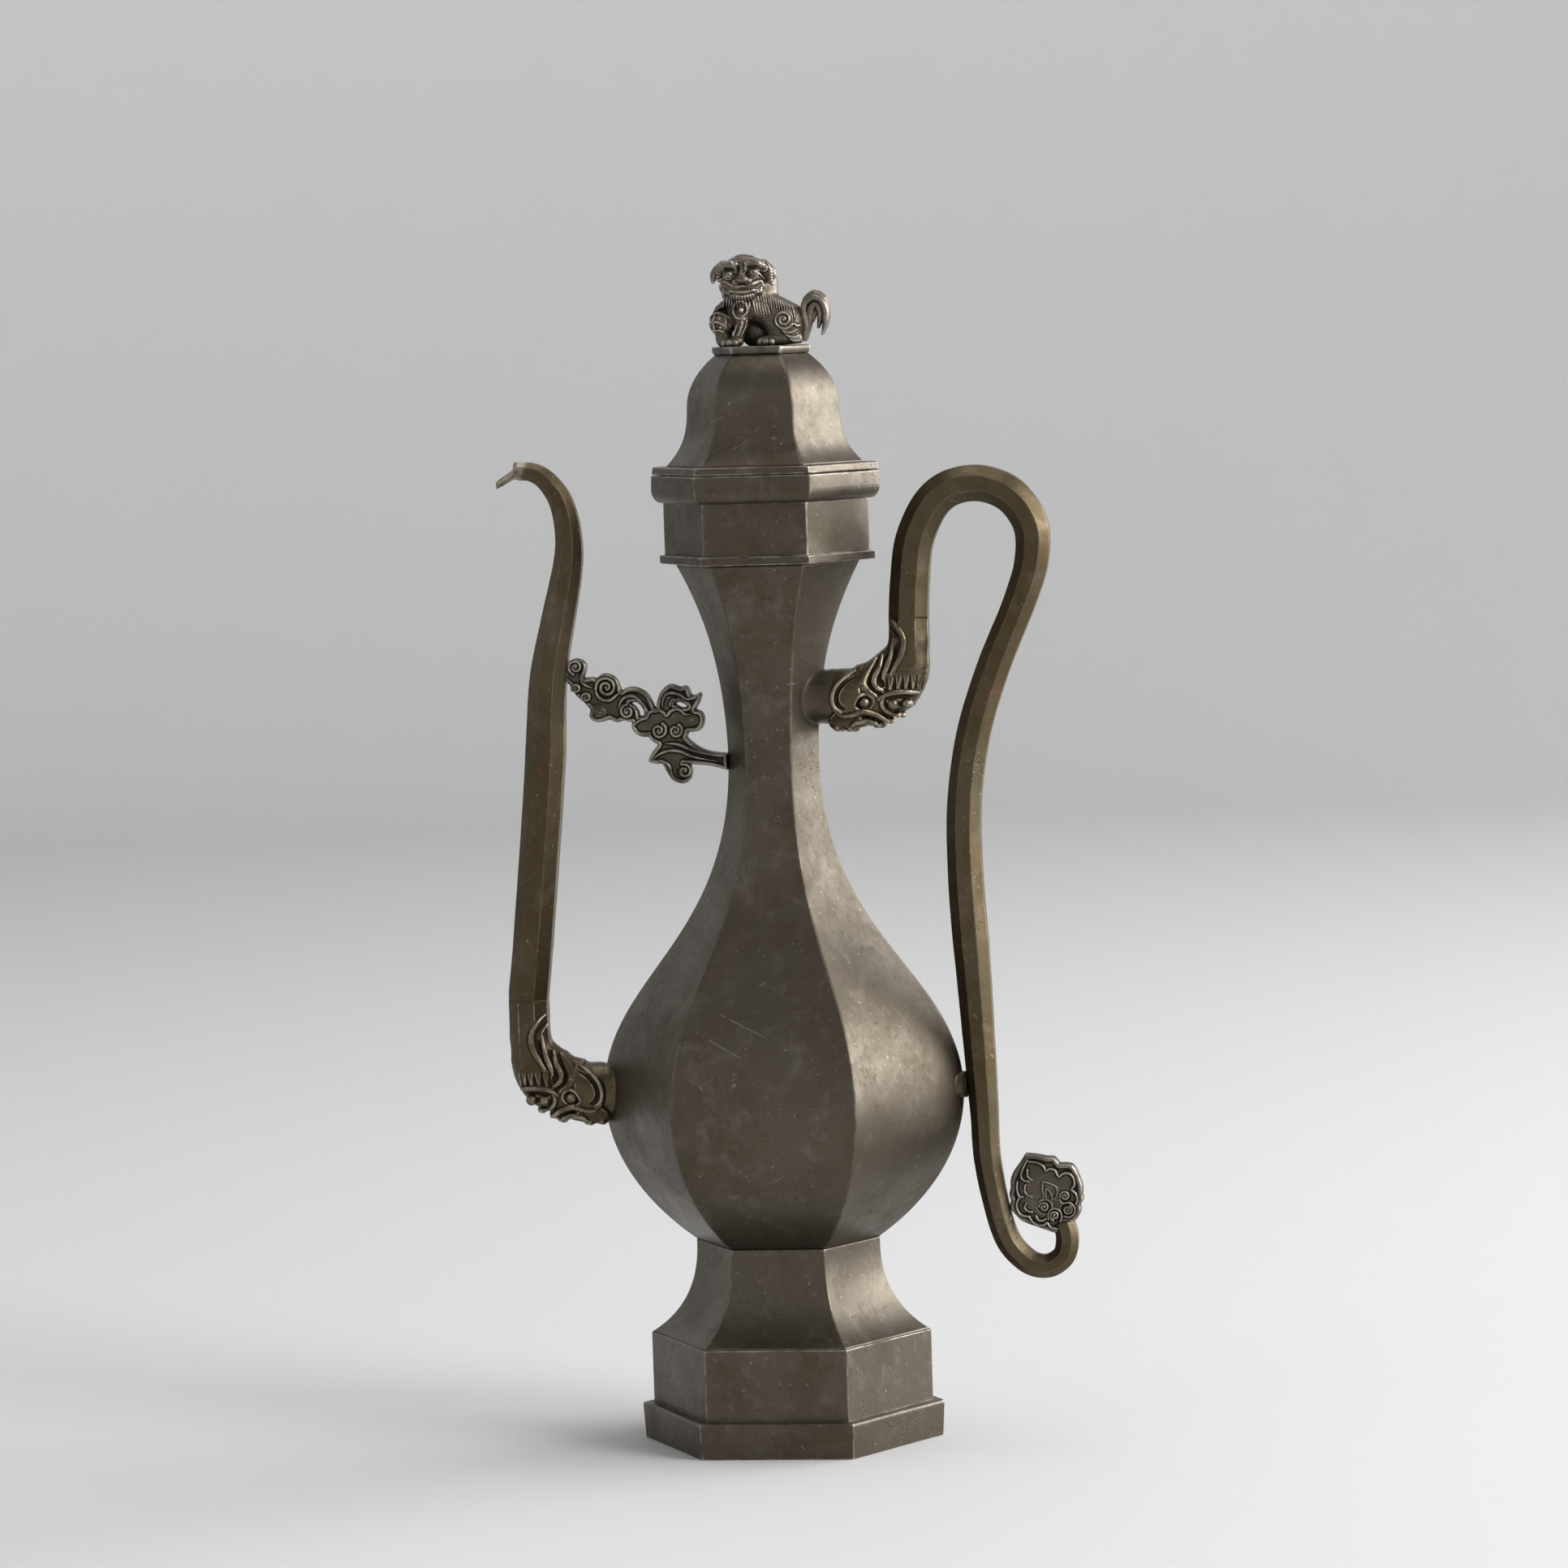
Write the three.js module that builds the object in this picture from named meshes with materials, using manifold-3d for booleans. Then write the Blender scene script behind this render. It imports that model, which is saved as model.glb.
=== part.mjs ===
// Hexagonal pewter ewer with a lift-off lid, made the way such ware is made: bent sheet panels
// soldered along the arrises, cast mouldings, a cast guardian lion on the lid, and cast dragon
// heads at the roots of the spout and the handle.
// Millimetres, +Z up. The spout points along -X and the handle along +X.
import * as THREE from 'three';
import { mergeVertices } from 'three/addons/utils/BufferGeometryUtils.js';
import Module from 'manifold-3d';

const wasm = await Module();
wasm.setup();

// Sheet metal and fits. Radii of six-sided pieces run to their corners.
const SIDES = 6;
const SHEET = 1.8;
const SOLDER = 0.3;
const LID_SEAT_GAP = 0.3;
const LID_FIT = 0.6;

// Foot
const FOOT_RIM_RADIUS = 59.5;
const FOOT_RIM_HEIGHT = 14.1;
const FOOT_RIM_WALL = 3.4;
const FOOT_RIM_SHELF = 2.6;
const FOOT_RIM_TAPER = 0.9;
const FOOT_RIM_ROUND = 1.0;
const FOOT_BAND_RADIUS = 55;
const FOOT_BAND_HEIGHT = 27.1;
const FOOT_FLARE_HEIGHT = 36.3;
const FOOT_WAIST_RADIUS = 36.1;

// Body: belly, neck and mouth
const BELLY_RADIUS = 70.7;
const BELLY_HEIGHT = 57;
const THROAT_RADIUS = 18;
const THROAT_HEIGHT = 130;
const NECK_HEIGHT = 76.6;
const NECK_TOP_RADIUS = 36.4;
const FLOOR_THICKNESS = 2;
const MOUTH_FLANGE_RADIUS = 42.2;
const MOUTH_FLANGE_HEIGHT = 3;
const MOUTH_BAND_RADIUS = 40.1;
const MOUTH_BAND_HEIGHT = 19.5;
const MOUTH_RIM_RADIUS = 44.8;
const MOUTH_RIM_HEIGHT = 10.7;
const MOUTH_RIM_ROUND = 5.2;

// Lid
const LID_PLATE_RADIUS = 44.3;
const LID_PLATE_HEIGHT = 3;
const LID_PLUG_DEPTH = 9.5;
const LID_PLUG_WALL = 1.6;
const DOME_BASE_RADIUS = 38.7;
const DOME_WAIST_RADIUS = 29.9;
const DOME_WAIST_HEIGHT = 22;
const DOME_TOP_RADIUS = 18;
const DOME_HEIGHT = 42.3;
const FINIAL_PLATE_RADIUS = 19.3;
const FINIAL_PLATE_HEIGHT = 2.7;

// Spout and handle
const SPOUT_ROOT_RISE = 2;
const HANDLE_ROOT_RISE = 23.6;
const BORE_RADIUS = 5;
const BORE_BEND = 12;
const COLLAR_RADIUS = 10.4;
const SPOUT_COLLAR_LENGTH = 1.5;
const HANDLE_COLLAR_LENGTH = 7.9;
const DRAGON_REACH = 27;
const SPOUT_SHANK = 36;
const SPOUT_HEIGHT = 241.9;
const HANDLE_SHANK = 30;
const HANDLE_ARCH = 81;
const HANDLE_DROP = 69.4;
const BAR_WIDTH = 15.2;
const SPOUT_TIP_WIDTH = 6.4;
const SPOUT_WALL = 2.2;
const SPOUT_LIP_LENGTH = 7.5;
const HANDLE_GAP = 0.8;
const OVERRUN = 3;
const HANDLE_MID_WIDTH = 13.4;
const HANDLE_END_WIDTH = 8.6;
const PEG_RADIUS = 5.4;
const STRUT_RISE = 153;
const STRUT_THICKNESS = 4.6;
const SCROLL_LINE = 1.6;
const CUSP_STEPS = 1;
const RUYI_SPAN = 29;
const RUYI_THICKNESS = 6.4;
const RUYI_BORDER = 2;
const LION_HEIGHT = 35.2;

// Heights of the stack, from the table up
const FOOT_BAND_Z = FOOT_RIM_HEIGHT + SOLDER;
const FOOT_FLARE_Z = FOOT_BAND_Z + FOOT_BAND_HEIGHT + SOLDER;
const BODY_Z = FOOT_FLARE_Z + FOOT_FLARE_HEIGHT + SOLDER;
const BELLY_Z = BODY_Z + BELLY_HEIGHT;
const THROAT_Z = BELLY_Z + THROAT_HEIGHT;
const NECK_TOP_Z = THROAT_Z + NECK_HEIGHT;
const MOUTH_FLANGE_Z = NECK_TOP_Z + SOLDER;
const MOUTH_BAND_Z = MOUTH_FLANGE_Z + MOUTH_FLANGE_HEIGHT + SOLDER;
const MOUTH_RIM_Z = MOUTH_BAND_Z + MOUTH_BAND_HEIGHT + SOLDER;
const LID_Z = MOUTH_RIM_Z + MOUTH_RIM_HEIGHT + LID_SEAT_GAP;
const DOME_Z = LID_Z + LID_PLATE_HEIGHT + SOLDER;
const FINIAL_Z = DOME_Z + DOME_HEIGHT + SOLDER;
const LION_Z = FINIAL_Z + FINIAL_PLATE_HEIGHT + SOLDER;

// A wall of a six-sided piece is measured square to its flats; this turns it into a step of
// the corner radius.
const flatToCorner = 1 / Math.cos(Math.PI / SIDES);

const pewter = { color: '#6f695e', roughness: 0.48, metalness: 0.9 };
const warmPewter = { color: '#6b5d42', roughness: 0.52, metalness: 0.85 };
const castPewter = { color: '#7d7668', roughness: 0.5, metalness: 0.85 };

// Closed geometry in, solid out, with its faces turned outward.
function solid(geometry) {
  const bare = geometry.clone();
  bare.deleteAttribute('normal');
  bare.deleteAttribute('uv');
  const merged = mergeVertices(bare, 1e-4);
  const points = merged.attributes.position.array;
  const index = Array.from(merged.index.array);
  const corners = [new THREE.Vector3(), new THREE.Vector3(), new THREE.Vector3()];
  const triangles = [];
  let volume = 0;
  for (let i = 0; i < index.length; i += 3) {
    const ids = index.slice(i, i + 3);
    if (new Set(ids).size < 3) continue;
    ids.forEach((id, k) => corners[k].fromArray(points, id * 3));
    volume += corners[0].dot(corners[1].clone().cross(corners[2]));
    triangles.push(ids);
  }
  const outward = volume > 0 ? triangles : triangles.map(([a, b, c]) => [a, c, b]);
  return new wasm.Manifold(new wasm.Mesh({
    numProp: 3,
    vertProperties: Float32Array.from(points),
    triVerts: Uint32Array.from(outward.flat()),
  }));
}

function union(parts) {
  return parts.reduce((sum, part) => sum.add(part));
}

function piece(name, shape, look) {
  const mesh = shape.getMesh();
  const geometry = new THREE.BufferGeometry();
  geometry.setAttribute('position', new THREE.BufferAttribute(mesh.vertProperties, 3));
  geometry.setIndex(new THREE.BufferAttribute(mesh.triVerts, 1));
  const flat = geometry.toNonIndexed();
  flat.computeVertexNormals();
  const result = new THREE.Mesh(flat, new THREE.MeshStandardMaterial(look));
  result.name = name;
  return result;
}

// Six-sided ring or plate with corners on the X axis, from a profile of [corner radius, height].
function hexTurned(profile) {
  const points = profile.map(([r, z]) => new THREE.Vector2(r, z));
  if (profile[0][0] > 0) points.push(points[0].clone());
  const geometry = new THREE.LatheGeometry(points, SIDES, Math.PI / 2, Math.PI * 2);
  return solid(geometry.rotateX(Math.PI / 2));
}

function arcPoints(cx, cy, r, from, to, steps) {
  return Array.from({ length: steps + 1 }, (_, i) => {
    const a = THREE.MathUtils.degToRad(from + ((to - from) * i) / steps);
    return [cx + r * Math.cos(a), cy + r * Math.sin(a)];
  });
}

function bezier(points, steps) {
  const [a, b, c, d] = points.map(([r, z]) => new THREE.Vector2(r, z));
  return new THREE.CubicBezierCurve(a, b, c, d).getPoints(steps).map((p) => [p.x, p.y]);
}

// Profiles of the arrises, from the bottom up
function footProfile() {
  return bezier([
    [FOOT_BAND_RADIUS, FOOT_FLARE_Z],
    [FOOT_BAND_RADIUS - 19.3, FOOT_FLARE_Z + 11.5],
    [FOOT_WAIST_RADIUS, BODY_Z - SOLDER - 7.4],
    [FOOT_WAIST_RADIUS, BODY_Z - SOLDER],
  ], 8);
}

function bodyProfile() {
  const belly = bezier([
    [FOOT_WAIST_RADIUS, BODY_Z],
    [FOOT_WAIST_RADIUS + 21.4, BODY_Z + 15],
    [BELLY_RADIUS, BELLY_Z - 22],
    [BELLY_RADIUS, BELLY_Z],
  ], 8);
  const shoulder = bezier([
    [BELLY_RADIUS, BELLY_Z],
    [BELLY_RADIUS, BELLY_Z + 46],
    [THROAT_RADIUS, THROAT_Z - 72],
    [THROAT_RADIUS, THROAT_Z],
  ], 12);
  const neck = bezier([
    [THROAT_RADIUS, THROAT_Z],
    [THROAT_RADIUS, THROAT_Z + 36],
    [NECK_TOP_RADIUS - 10, NECK_TOP_Z - 18],
    [NECK_TOP_RADIUS, NECK_TOP_Z],
  ], 7);
  return [...belly, ...shoulder.slice(1), ...neck.slice(1)];
}

function domeProfile() {
  const waistZ = DOME_Z + DOME_WAIST_HEIGHT;
  const skirt = bezier([
    [DOME_BASE_RADIUS, DOME_Z],
    [DOME_BASE_RADIUS - 5.5, DOME_Z + 5.5],
    [DOME_WAIST_RADIUS, waistZ - 12],
    [DOME_WAIST_RADIUS, waistZ],
  ], 7);
  const crown = bezier([
    [DOME_WAIST_RADIUS, waistZ],
    [DOME_WAIST_RADIUS, waistZ + 9],
    [DOME_TOP_RADIUS + 6, DOME_Z + DOME_HEIGHT - 4.5],
    [DOME_TOP_RADIUS, DOME_Z + DOME_HEIGHT],
  ], 7);
  return [...skirt, ...crown.slice(1)];
}

// Corner radius of a profile at one height
function radiusAt(profile, z) {
  const k = profile.findIndex((p, i) => i > 0 && p[1] >= z);
  const [[r0, z0], [r1, z1]] = [profile[k - 1], profile[k]];
  return r0 + ((r1 - r0) * (z - z0)) / (z1 - z0);
}

// One bent panel: the profile has the sheet's thickness, runs across the flat, is mitred where
// it meets its neighbours at the arrises, and is trimmed level at both ends.
function sheetPanel(profile) {
  const outer = profile.map(([r, z]) => new THREE.Vector2(r / flatToCorner, z));
  const inner = outer.map((p, i) => {
    const before = outer[Math.max(i - 1, 0)];
    const after = outer[Math.min(i + 1, outer.length - 1)];
    const along = after.clone().sub(before).normalize();
    return new THREE.Vector2(p.x - along.y * SHEET, p.y + along.x * SHEET);
  });
  const outline = new THREE.Shape([...outer, ...inner.reverse()]);
  const reach = Math.max(...profile.map((p) => p[0]));
  const strip = new THREE.ExtrudeGeometry(outline, { depth: 2 * reach, bevelEnabled: false });
  strip.translate(0, 0, -reach).rotateX(Math.PI / 2);
  const half = Math.PI / SIDES;
  const inset = SOLDER / 2 / Math.sin(half);
  const wedge = new THREE.Shape([
    new THREE.Vector2(inset, 0),
    new THREE.Vector2(2 * reach, -(2 * reach - inset) * Math.tan(half)),
    new THREE.Vector2(2 * reach, (2 * reach - inset) * Math.tan(half)),
  ]);
  const [bottom, top] = [profile[0][1], profile[profile.length - 1][1]];
  const mitre = new THREE.ExtrudeGeometry(wedge, { depth: top - bottom, bevelEnabled: false });
  return solid(strip).intersect(solid(mitre.translate(0, 0, bottom)));
}

// One section carried along a path in the plane y = 0, with so many rings to each span between
// the path's points. A section point is [out of the bend, across the plane], in half widths.
function sweep(path, widthAt, sectionAt, perSpan = 2) {
  const steps = (path.points.length - 1) * perSpan;
  const rings = [];
  for (let i = 0; i <= steps; i += 1) {
    const t = i / steps;
    const p = path.getPoint(t);
    const d = path.getTangent(t);
    const half = widthAt(t) / 2;
    rings.push(sectionAt(t).map(([u, v]) => new THREE.Vector3(
      p.x - d.y * u * half, v * half, p.y + d.x * u * half,
    )));
  }
  return loft(rings);
}

// Closed skin over rings of as many points each, with flat ends
function loft(rings) {
  const n = rings[0].length;
  const positions = rings.flat().flatMap((p) => [p.x, p.y, p.z]);
  const index = [];
  for (let i = 0; i < rings.length - 1; i += 1) {
    for (let k = 0; k < n; k += 1) {
      const [a, b] = [i * n + k, i * n + ((k + 1) % n)];
      index.push(a, b, b + n, a, b + n, a + n);
    }
  }
  const last = (rings.length - 1) * n;
  for (let k = 1; k < n - 1; k += 1) {
    index.push(0, k + 1, k);
    index.push(last, last + k, last + k + 1);
  }
  const geometry = new THREE.BufferGeometry();
  geometry.setAttribute('position', new THREE.Float32BufferAttribute(positions, 3));
  geometry.setIndex(index);
  return solid(geometry);
}

function ringSection(sides, radius) {
  return Array.from({ length: sides }, (_, k) => {
    const a = ((k + 0.5) * 2 * Math.PI) / sides;
    return [radius * Math.cos(a), radius * Math.sin(a)];
  });
}

const octagon = ringSection(8, 1 / Math.cos(Math.PI / 8));

// Straight-line blend between values set at places along a path
function taper(stops) {
  return (t) => {
    const k = Math.max(1, stops.findIndex(([at]) => at >= t));
    const [[t0, w0], [t1, w1]] = [stops[k - 1], stops[k]];
    return w0 + (w1 - w0) * THREE.MathUtils.clamp((t - t0) / (t1 - t0), 0, 1);
  };
}

function planePath(points) {
  return new THREE.SplineCurve(points.map(([x, z]) => new THREE.Vector2(x, z)));
}

// Round tapering limb through points of [x, y, z, radius], closed by a blunt point at each end
function limb(points, sides = 6) {
  const curve = new THREE.CatmullRomCurve3(points.map(([x, y, z]) => new THREE.Vector3(x, y, z)));
  const frames = curve.computeFrenetFrames(points.length - 1, false);
  return loft(points.map(([, , , r], i) => Array.from({ length: sides }, (_, j) => {
    const a = (j * 2 * Math.PI) / sides;
    return curve.points[i].clone()
      .addScaledVector(frames.normals[i], r * Math.cos(a))
      .addScaledVector(frames.binormals[i], r * Math.sin(a));
  })));
}

// Ellipsoid at a centre, with half sizes along X, Y and Z
function egg([x, y, z], [rx, ry, rz], detail = 8) {
  const geometry = new THREE.SphereGeometry(1, detail, Math.round(detail * 0.7));
  return solid(geometry.rotateX(Math.PI / 2).scale(rx, ry, rz).translate(x, y, z));
}

// Disc standing in the plane y = 0
function coin([x, z], r, thickness, sides = 12) {
  return solid(new THREE.CylinderGeometry(r, r, thickness, sides).translate(x, 0, z));
}

function bothSides(shape) {
  return shape.add(shape.mirror([0, 1, 0]));
}

function alongX(from, to, r, z, sides = 24) {
  const geometry = new THREE.CylinderGeometry(r, r, to - from, sides);
  return solid(geometry.rotateZ(-Math.PI / 2).translate((from + to) / 2, 0, z));
}

const bodyLine = bodyProfile();
const SPOUT_ROOT_Z = BELLY_Z + SPOUT_ROOT_RISE;
const HANDLE_ROOT_Z = THROAT_Z + HANDLE_ROOT_RISE;
const SPOUT_X = -(BELLY_RADIUS + SPOUT_COLLAR_LENGTH + DRAGON_REACH);
const HANDLE_X = radiusAt(bodyLine, HANDLE_ROOT_Z) + HANDLE_COLLAR_LENGTH + DRAGON_REACH;

// The body's outside with solder room, for cutting what is soldered on to it
function bodyCutter() {
  const room = SOLDER * flatToCorner * 1.3;
  return hexTurned([[0, BODY_Z], ...bodyLine.map(([r, z]) => [r + room, z]), [0, NECK_TOP_Z]]);
}

// Centre line of the spout, whose places are shares of its height
function spoutPath() {
  const rise = [
    [0.012, 0.256], [0.026, 0.389], [0.039, 0.521], [0.049, 0.661], [0.067, 0.752],
    [0.086, 0.839], [0.09, 0.893], [0.08, 0.947], [0.057, 0.983], [0.032, 0.998], [0.005, 1],
  ].map(([x, z]) => [SPOUT_X + x * SPOUT_HEIGHT, SPOUT_ROOT_Z + z * SPOUT_HEIGHT]);
  return planePath([[SPOUT_X - 0.2, SPOUT_ROOT_Z + SPOUT_SHANK - OVERRUN], ...rise]);
}

// Centre line of the handle: its arch in shares of the arch's height, its leg in shares of the
// throat's height, and its curl in shares of how far it hangs below the belly's widest level
function handlePath() {
  const arch = [
    [0.01, 0.53], [0.044, 0.753], [0.154, 0.94], [0.321, 1], [0.488, 0.948], [0.591, 0.805],
    [0.595, 0.63], [0.533, 0.436], [0.398, 0.122], [0.296, -0.185],
  ].map(([x, z]) => [HANDLE_X + x * HANDLE_ARCH, HANDLE_ROOT_Z + z * HANDLE_ARCH]);
  const legX = BELLY_RADIUS + HANDLE_GAP + HANDLE_MID_WIDTH / 2;
  const leg = [[-0.033, 0.862], [-0.036, 0.638], [-0.02, 0.338], [-0.002, -0.023]]
    .map(([x, z]) => [legX + x * THROAT_HEIGHT, BELLY_Z + z * THROAT_HEIGHT]);
  const curl = [
    [0.014, -0.425], [0.095, -0.807], [0.207, -0.961], [0.323, -1], [0.421, -0.944],
    [0.445, -0.84], [0.424, -0.749],
  ].map(([x, z]) => [legX + x * HANDLE_DROP, BELLY_Z + z * HANDLE_DROP]);
  return planePath([[HANDLE_X, HANDLE_ROOT_Z + HANDLE_SHANK - OVERRUN], ...arch, ...leg, ...curl]);
}

function spoutTube(grow = 0) {
  const width = taper([
    [0, BAR_WIDTH], [0.45, BAR_WIDTH], [0.56, BAR_WIDTH - 1], [0.66, BAR_WIDTH - 2.1],
    [0.75, BAR_WIDTH - 3.4], [1, SPOUT_TIP_WIDTH],
  ]);
  return sweep(spoutPath(), (t) => width(t) + 2 * grow, () => octagon)
    .trimByPlane([0, 0, 1], SPOUT_ROOT_Z + SPOUT_SHANK + SOLDER);
}

function handleTube(grow = 0) {
  const width = taper([
    [0, BAR_WIDTH], [0.19, HANDLE_MID_WIDTH + 0.3], [0.31, HANDLE_MID_WIDTH - 1.1],
    [0.62, HANDLE_MID_WIDTH + 0.4], [0.79, HANDLE_END_WIDTH + 2.1], [1, HANDLE_END_WIDTH],
  ]);
  const bar = sweep(handlePath(), (t) => width(t) + 2 * grow, () => octagon);
  const foot = new THREE.BoxGeometry(2 * BAR_WIDTH, 2 * BAR_WIDTH, 2 * OVERRUN)
    .translate(HANDLE_X, 0, HANDLE_ROOT_Z + HANDLE_SHANK + SOLDER - OVERRUN);
  return bar.subtract(solid(foot));
}

// Cast dragon's head. Its muzzle bites the collar, its mane streams up the inside of the bar.
// Built round the bar's axis and the collar's height, with the body of the ewer on its left,
// and drawn for a reach of 27 and a collar of 10.4.
function dragon(shank) {
  const size = DRAGON_REACH / 27;
  const breadth = COLLAR_RADIUS / 10.4;
  const bend = [[-16, 0], [-6, 1.8], [-0.9, 8], [0, 16]].map(([x, z]) => [x * size, z * size]);
  const path = planePath([[-DRAGON_REACH, 0], ...bend, [0, shank + OVERRUN]]);
  const width = taper([
    [0, 2 * COLLAR_RADIUS + 0.8], [0.4, 1.87 * COLLAR_RADIUS], [0.75, BAR_WIDTH], [1, BAR_WIDTH],
  ]);
  const facets = taper([[0, 0], [0.4, 0], [0.75, 1], [1, 1]]);
  const corner = 1 / Math.cos(Math.PI / 8) - 1;
  const section = (t) => Array.from({ length: 16 }, (_, k) => {
    const a = (k * Math.PI) / 8;
    const r = 1 + (k % 2) * corner * facets(t);
    return [r * Math.cos(a), r * Math.sin(a)];
  });
  const strand = (points) => limb(points, 4);
  const face = union([
    strand([[-20.6, -5.4, 9.8, 1], [-25, -8.8, 5.6, 1.4], [-25.6, -10, -2, 1.4],
      [-21.4, -7.6, -8, 0.8]]),
    egg([-19.4, -6.6, 3.4], [6.4, 4.6, 5], 6),
    strand([[-22.4, -9.4, 6, 1.4], [-17, -10.2, 4.6, 2], [-13.4, -9.6, 0.8, 1.6],
      [-12.6, -8.6, -3, 0.8]]),
    egg([-17, -9.6, -1.7], [2.8, 2.2, 2.8], 6),
    strand([[-24.6, -8.8, -5.6, 0.9], [-20, -9.4, -6.6, 1.3], [-16, -9.4, -5.4, 1.5],
      [-12, -8.4, -7, 1.2], [-9.4, -6.8, -8.8, 0.7]]),
    strand([[-10, -8, -1.2, 0.8], [-7.8, -8.6, 0.9, 1.2], [-3.2, -8.6, 1.5, 1.2],
      [1.6, -8.2, 1, 1], [4.4, -6.8, -0.6, 0.6]]),
    egg([-5.7, -7.4, -3], [2.7, 2, 2.7], 6),
    egg([-1, -6, -3.6], [2.5, 2.2, 2.5], 6),
  ]);
  const mane = union([
    strand([[-17.2, -8.4, 4.6, 1.8], [-16, -7.8, 8, 1.6], [-12.8, -5.2, 13.4, 0.7]]),
    strand([[-10.8, -8, 2.8, 1], [-13, -8.2, 5.4, 1.5], [-11.6, -7, 9.4, 1.3], [-9.4, -5.2, 15, 0.6]]),
    strand([[-9.4, -7.8, 7.2, 1.3], [-7.6, -7.6, 10.8, 1.6], [-5.2, -7.2, 15, 1.4],
      [-4.8, -6.2, 20.4, 0.6]]),
    strand([[-6.8, -7.8, 7.4, 1.4], [-2.4, -7.7, 13, 1.8], [-0.6, -7.5, 19.6, 1.7],
      [-2.4, -7.3, 25, 1.2], [-4.6, -6.4, 28.2, 0.5]]),
    ...[-3.8, -1.2, 1.4].map((x) => strand([[x, -7.4, 2, 1.1], [x + 1, -7, 6.8, 0.6]])),
  ]);
  const beard = union([
    egg([-23.6, 0, -9.6], [3, 5.6, 3.4], 5),
    egg([-17.6, 0, -9], [2.6, 5, 3], 5),
    egg([-11.6, 0, -8], [3.2, 4.6, 3.8], 5),
  ]);
  const relief = union([bothSides(face), bothSides(mane), beard]).scale([size, breadth, size]);
  return sweep(path, width, section).add(relief).trimByPlane([0, 0, -1], -shank);
}

// Channel from the belly through the dragon's head into the spout
function spoutChannel() {
  const path = planePath([
    [-DRAGON_REACH - SPOUT_COLLAR_LENGTH - BELLY_RADIUS / 3, 0], [-DRAGON_REACH, 0],
    [-1.5 * BORE_BEND, 0], ...arcPoints(-BORE_BEND, BORE_BEND, BORE_BEND, -90, 0, 6),
    [0, 1.5 * BORE_BEND], [0, SPOUT_SHANK + SOLDER / 2],
  ]);
  return sweep(path, () => 2 * BORE_RADIUS, () => ringSection(12, 1 / Math.cos(Math.PI / 12)), 1)
    .mirror([1, 0, 0]).translate([SPOUT_X, 0, SPOUT_ROOT_Z]);
}

// Bore of the spout, on through its tip; it narrows as the spout does
function spoutBore() {
  const points = spoutPath().points;
  const [tip, beforeTip] = [points[points.length - 1], points[points.length - 2]];
  const start = points[0].clone().setY(points[0].y - 2);
  const end = tip.clone().setX(tip.x - SPOUT_LIP_LENGTH - 1);
  const path = new THREE.SplineCurve([start, ...points.slice(0, -1), beforeTip.clone().lerp(tip, 0.8), end]);
  const wide = BAR_WIDTH - 2 * SPOUT_WALL;
  const narrow = SPOUT_TIP_WIDTH - 2.2;
  const width = taper([[0, wide], [0.45, wide], [0.62, wide - 2], [0.72, wide - 3.6],
    [0.86, narrow], [1, narrow]]);
  return sweep(path, width, () => octagon);
}

function spout() {
  const tip = spoutPath().getPoint(1);
  const lip = limb([
    [tip.x + 1.5, 0, tip.y - 2.4, 1.5], [tip.x - 1.6, 0, tip.y - 3, 1.6],
    [tip.x - SPOUT_LIP_LENGTH, 0, tip.y - 6.2, 0.8],
  ]);
  return spoutTube().add(lip).subtract(spoutBore());
}

// Raised scroll line in the plane y = 0, wound inward from its outer end, alike on both faces
function scroll([x, z], r, startDegrees, turns, depth) {
  const steps = Math.ceil(Math.abs(turns) * 6);
  const line = Array.from({ length: steps + 1 }, (_, i) => {
    const t = i / steps;
    const a = THREE.MathUtils.degToRad(startDegrees) + t * turns * 2 * Math.PI;
    const at = THREE.MathUtils.lerp(r, SCROLL_LINE, t);
    return [x + at * Math.cos(a), z + at * Math.sin(a)];
  });
  return ribbon(line, SCROLL_LINE, depth, 1);
}

// Flat strip in the plane y = 0 along a curve, bevelled on both faces
function ribbon(points, strip, depth, perSpan = 1) {
  const section = [[1, 0], [0.5, 1], [-0.5, 1], [-1, 0], [-0.5, -1], [0.5, -1]];
  const widths = Array.isArray(strip) ? taper(strip.map((w, i) => [i / (strip.length - 1), w])) : () => strip;
  const shape = (t) => section.map(([u, v]) => [u, (v * depth) / widths(t)]);
  return sweep(planePath(points), widths, shape, perSpan);
}

// Plate standing in the plane y = 0. Its outline is a clockwise round of smooth strokes that
// meet at cusps.
function castPlate(strokes, holes, thickness) {
  const smooth = (points) => planePath(points).getPoints(points.length - 1 + CUSP_STEPS);
  const line = strokes.flatMap(smooth).reverse();
  const outline = new THREE.Shape(line.filter((p, i) => i === 0 || p.distanceTo(line[i - 1]) > SOLDER));
  holes.forEach((hole) => outline.holes.push(new THREE.Path(hole.map(([x, z]) => new THREE.Vector2(x, z)))));
  const plate = new THREE.ExtrudeGeometry(outline, { depth: thickness, bevelEnabled: false });
  return solid(plate.translate(0, 0, -thickness / 2).rotateX(Math.PI / 2));
}

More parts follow.
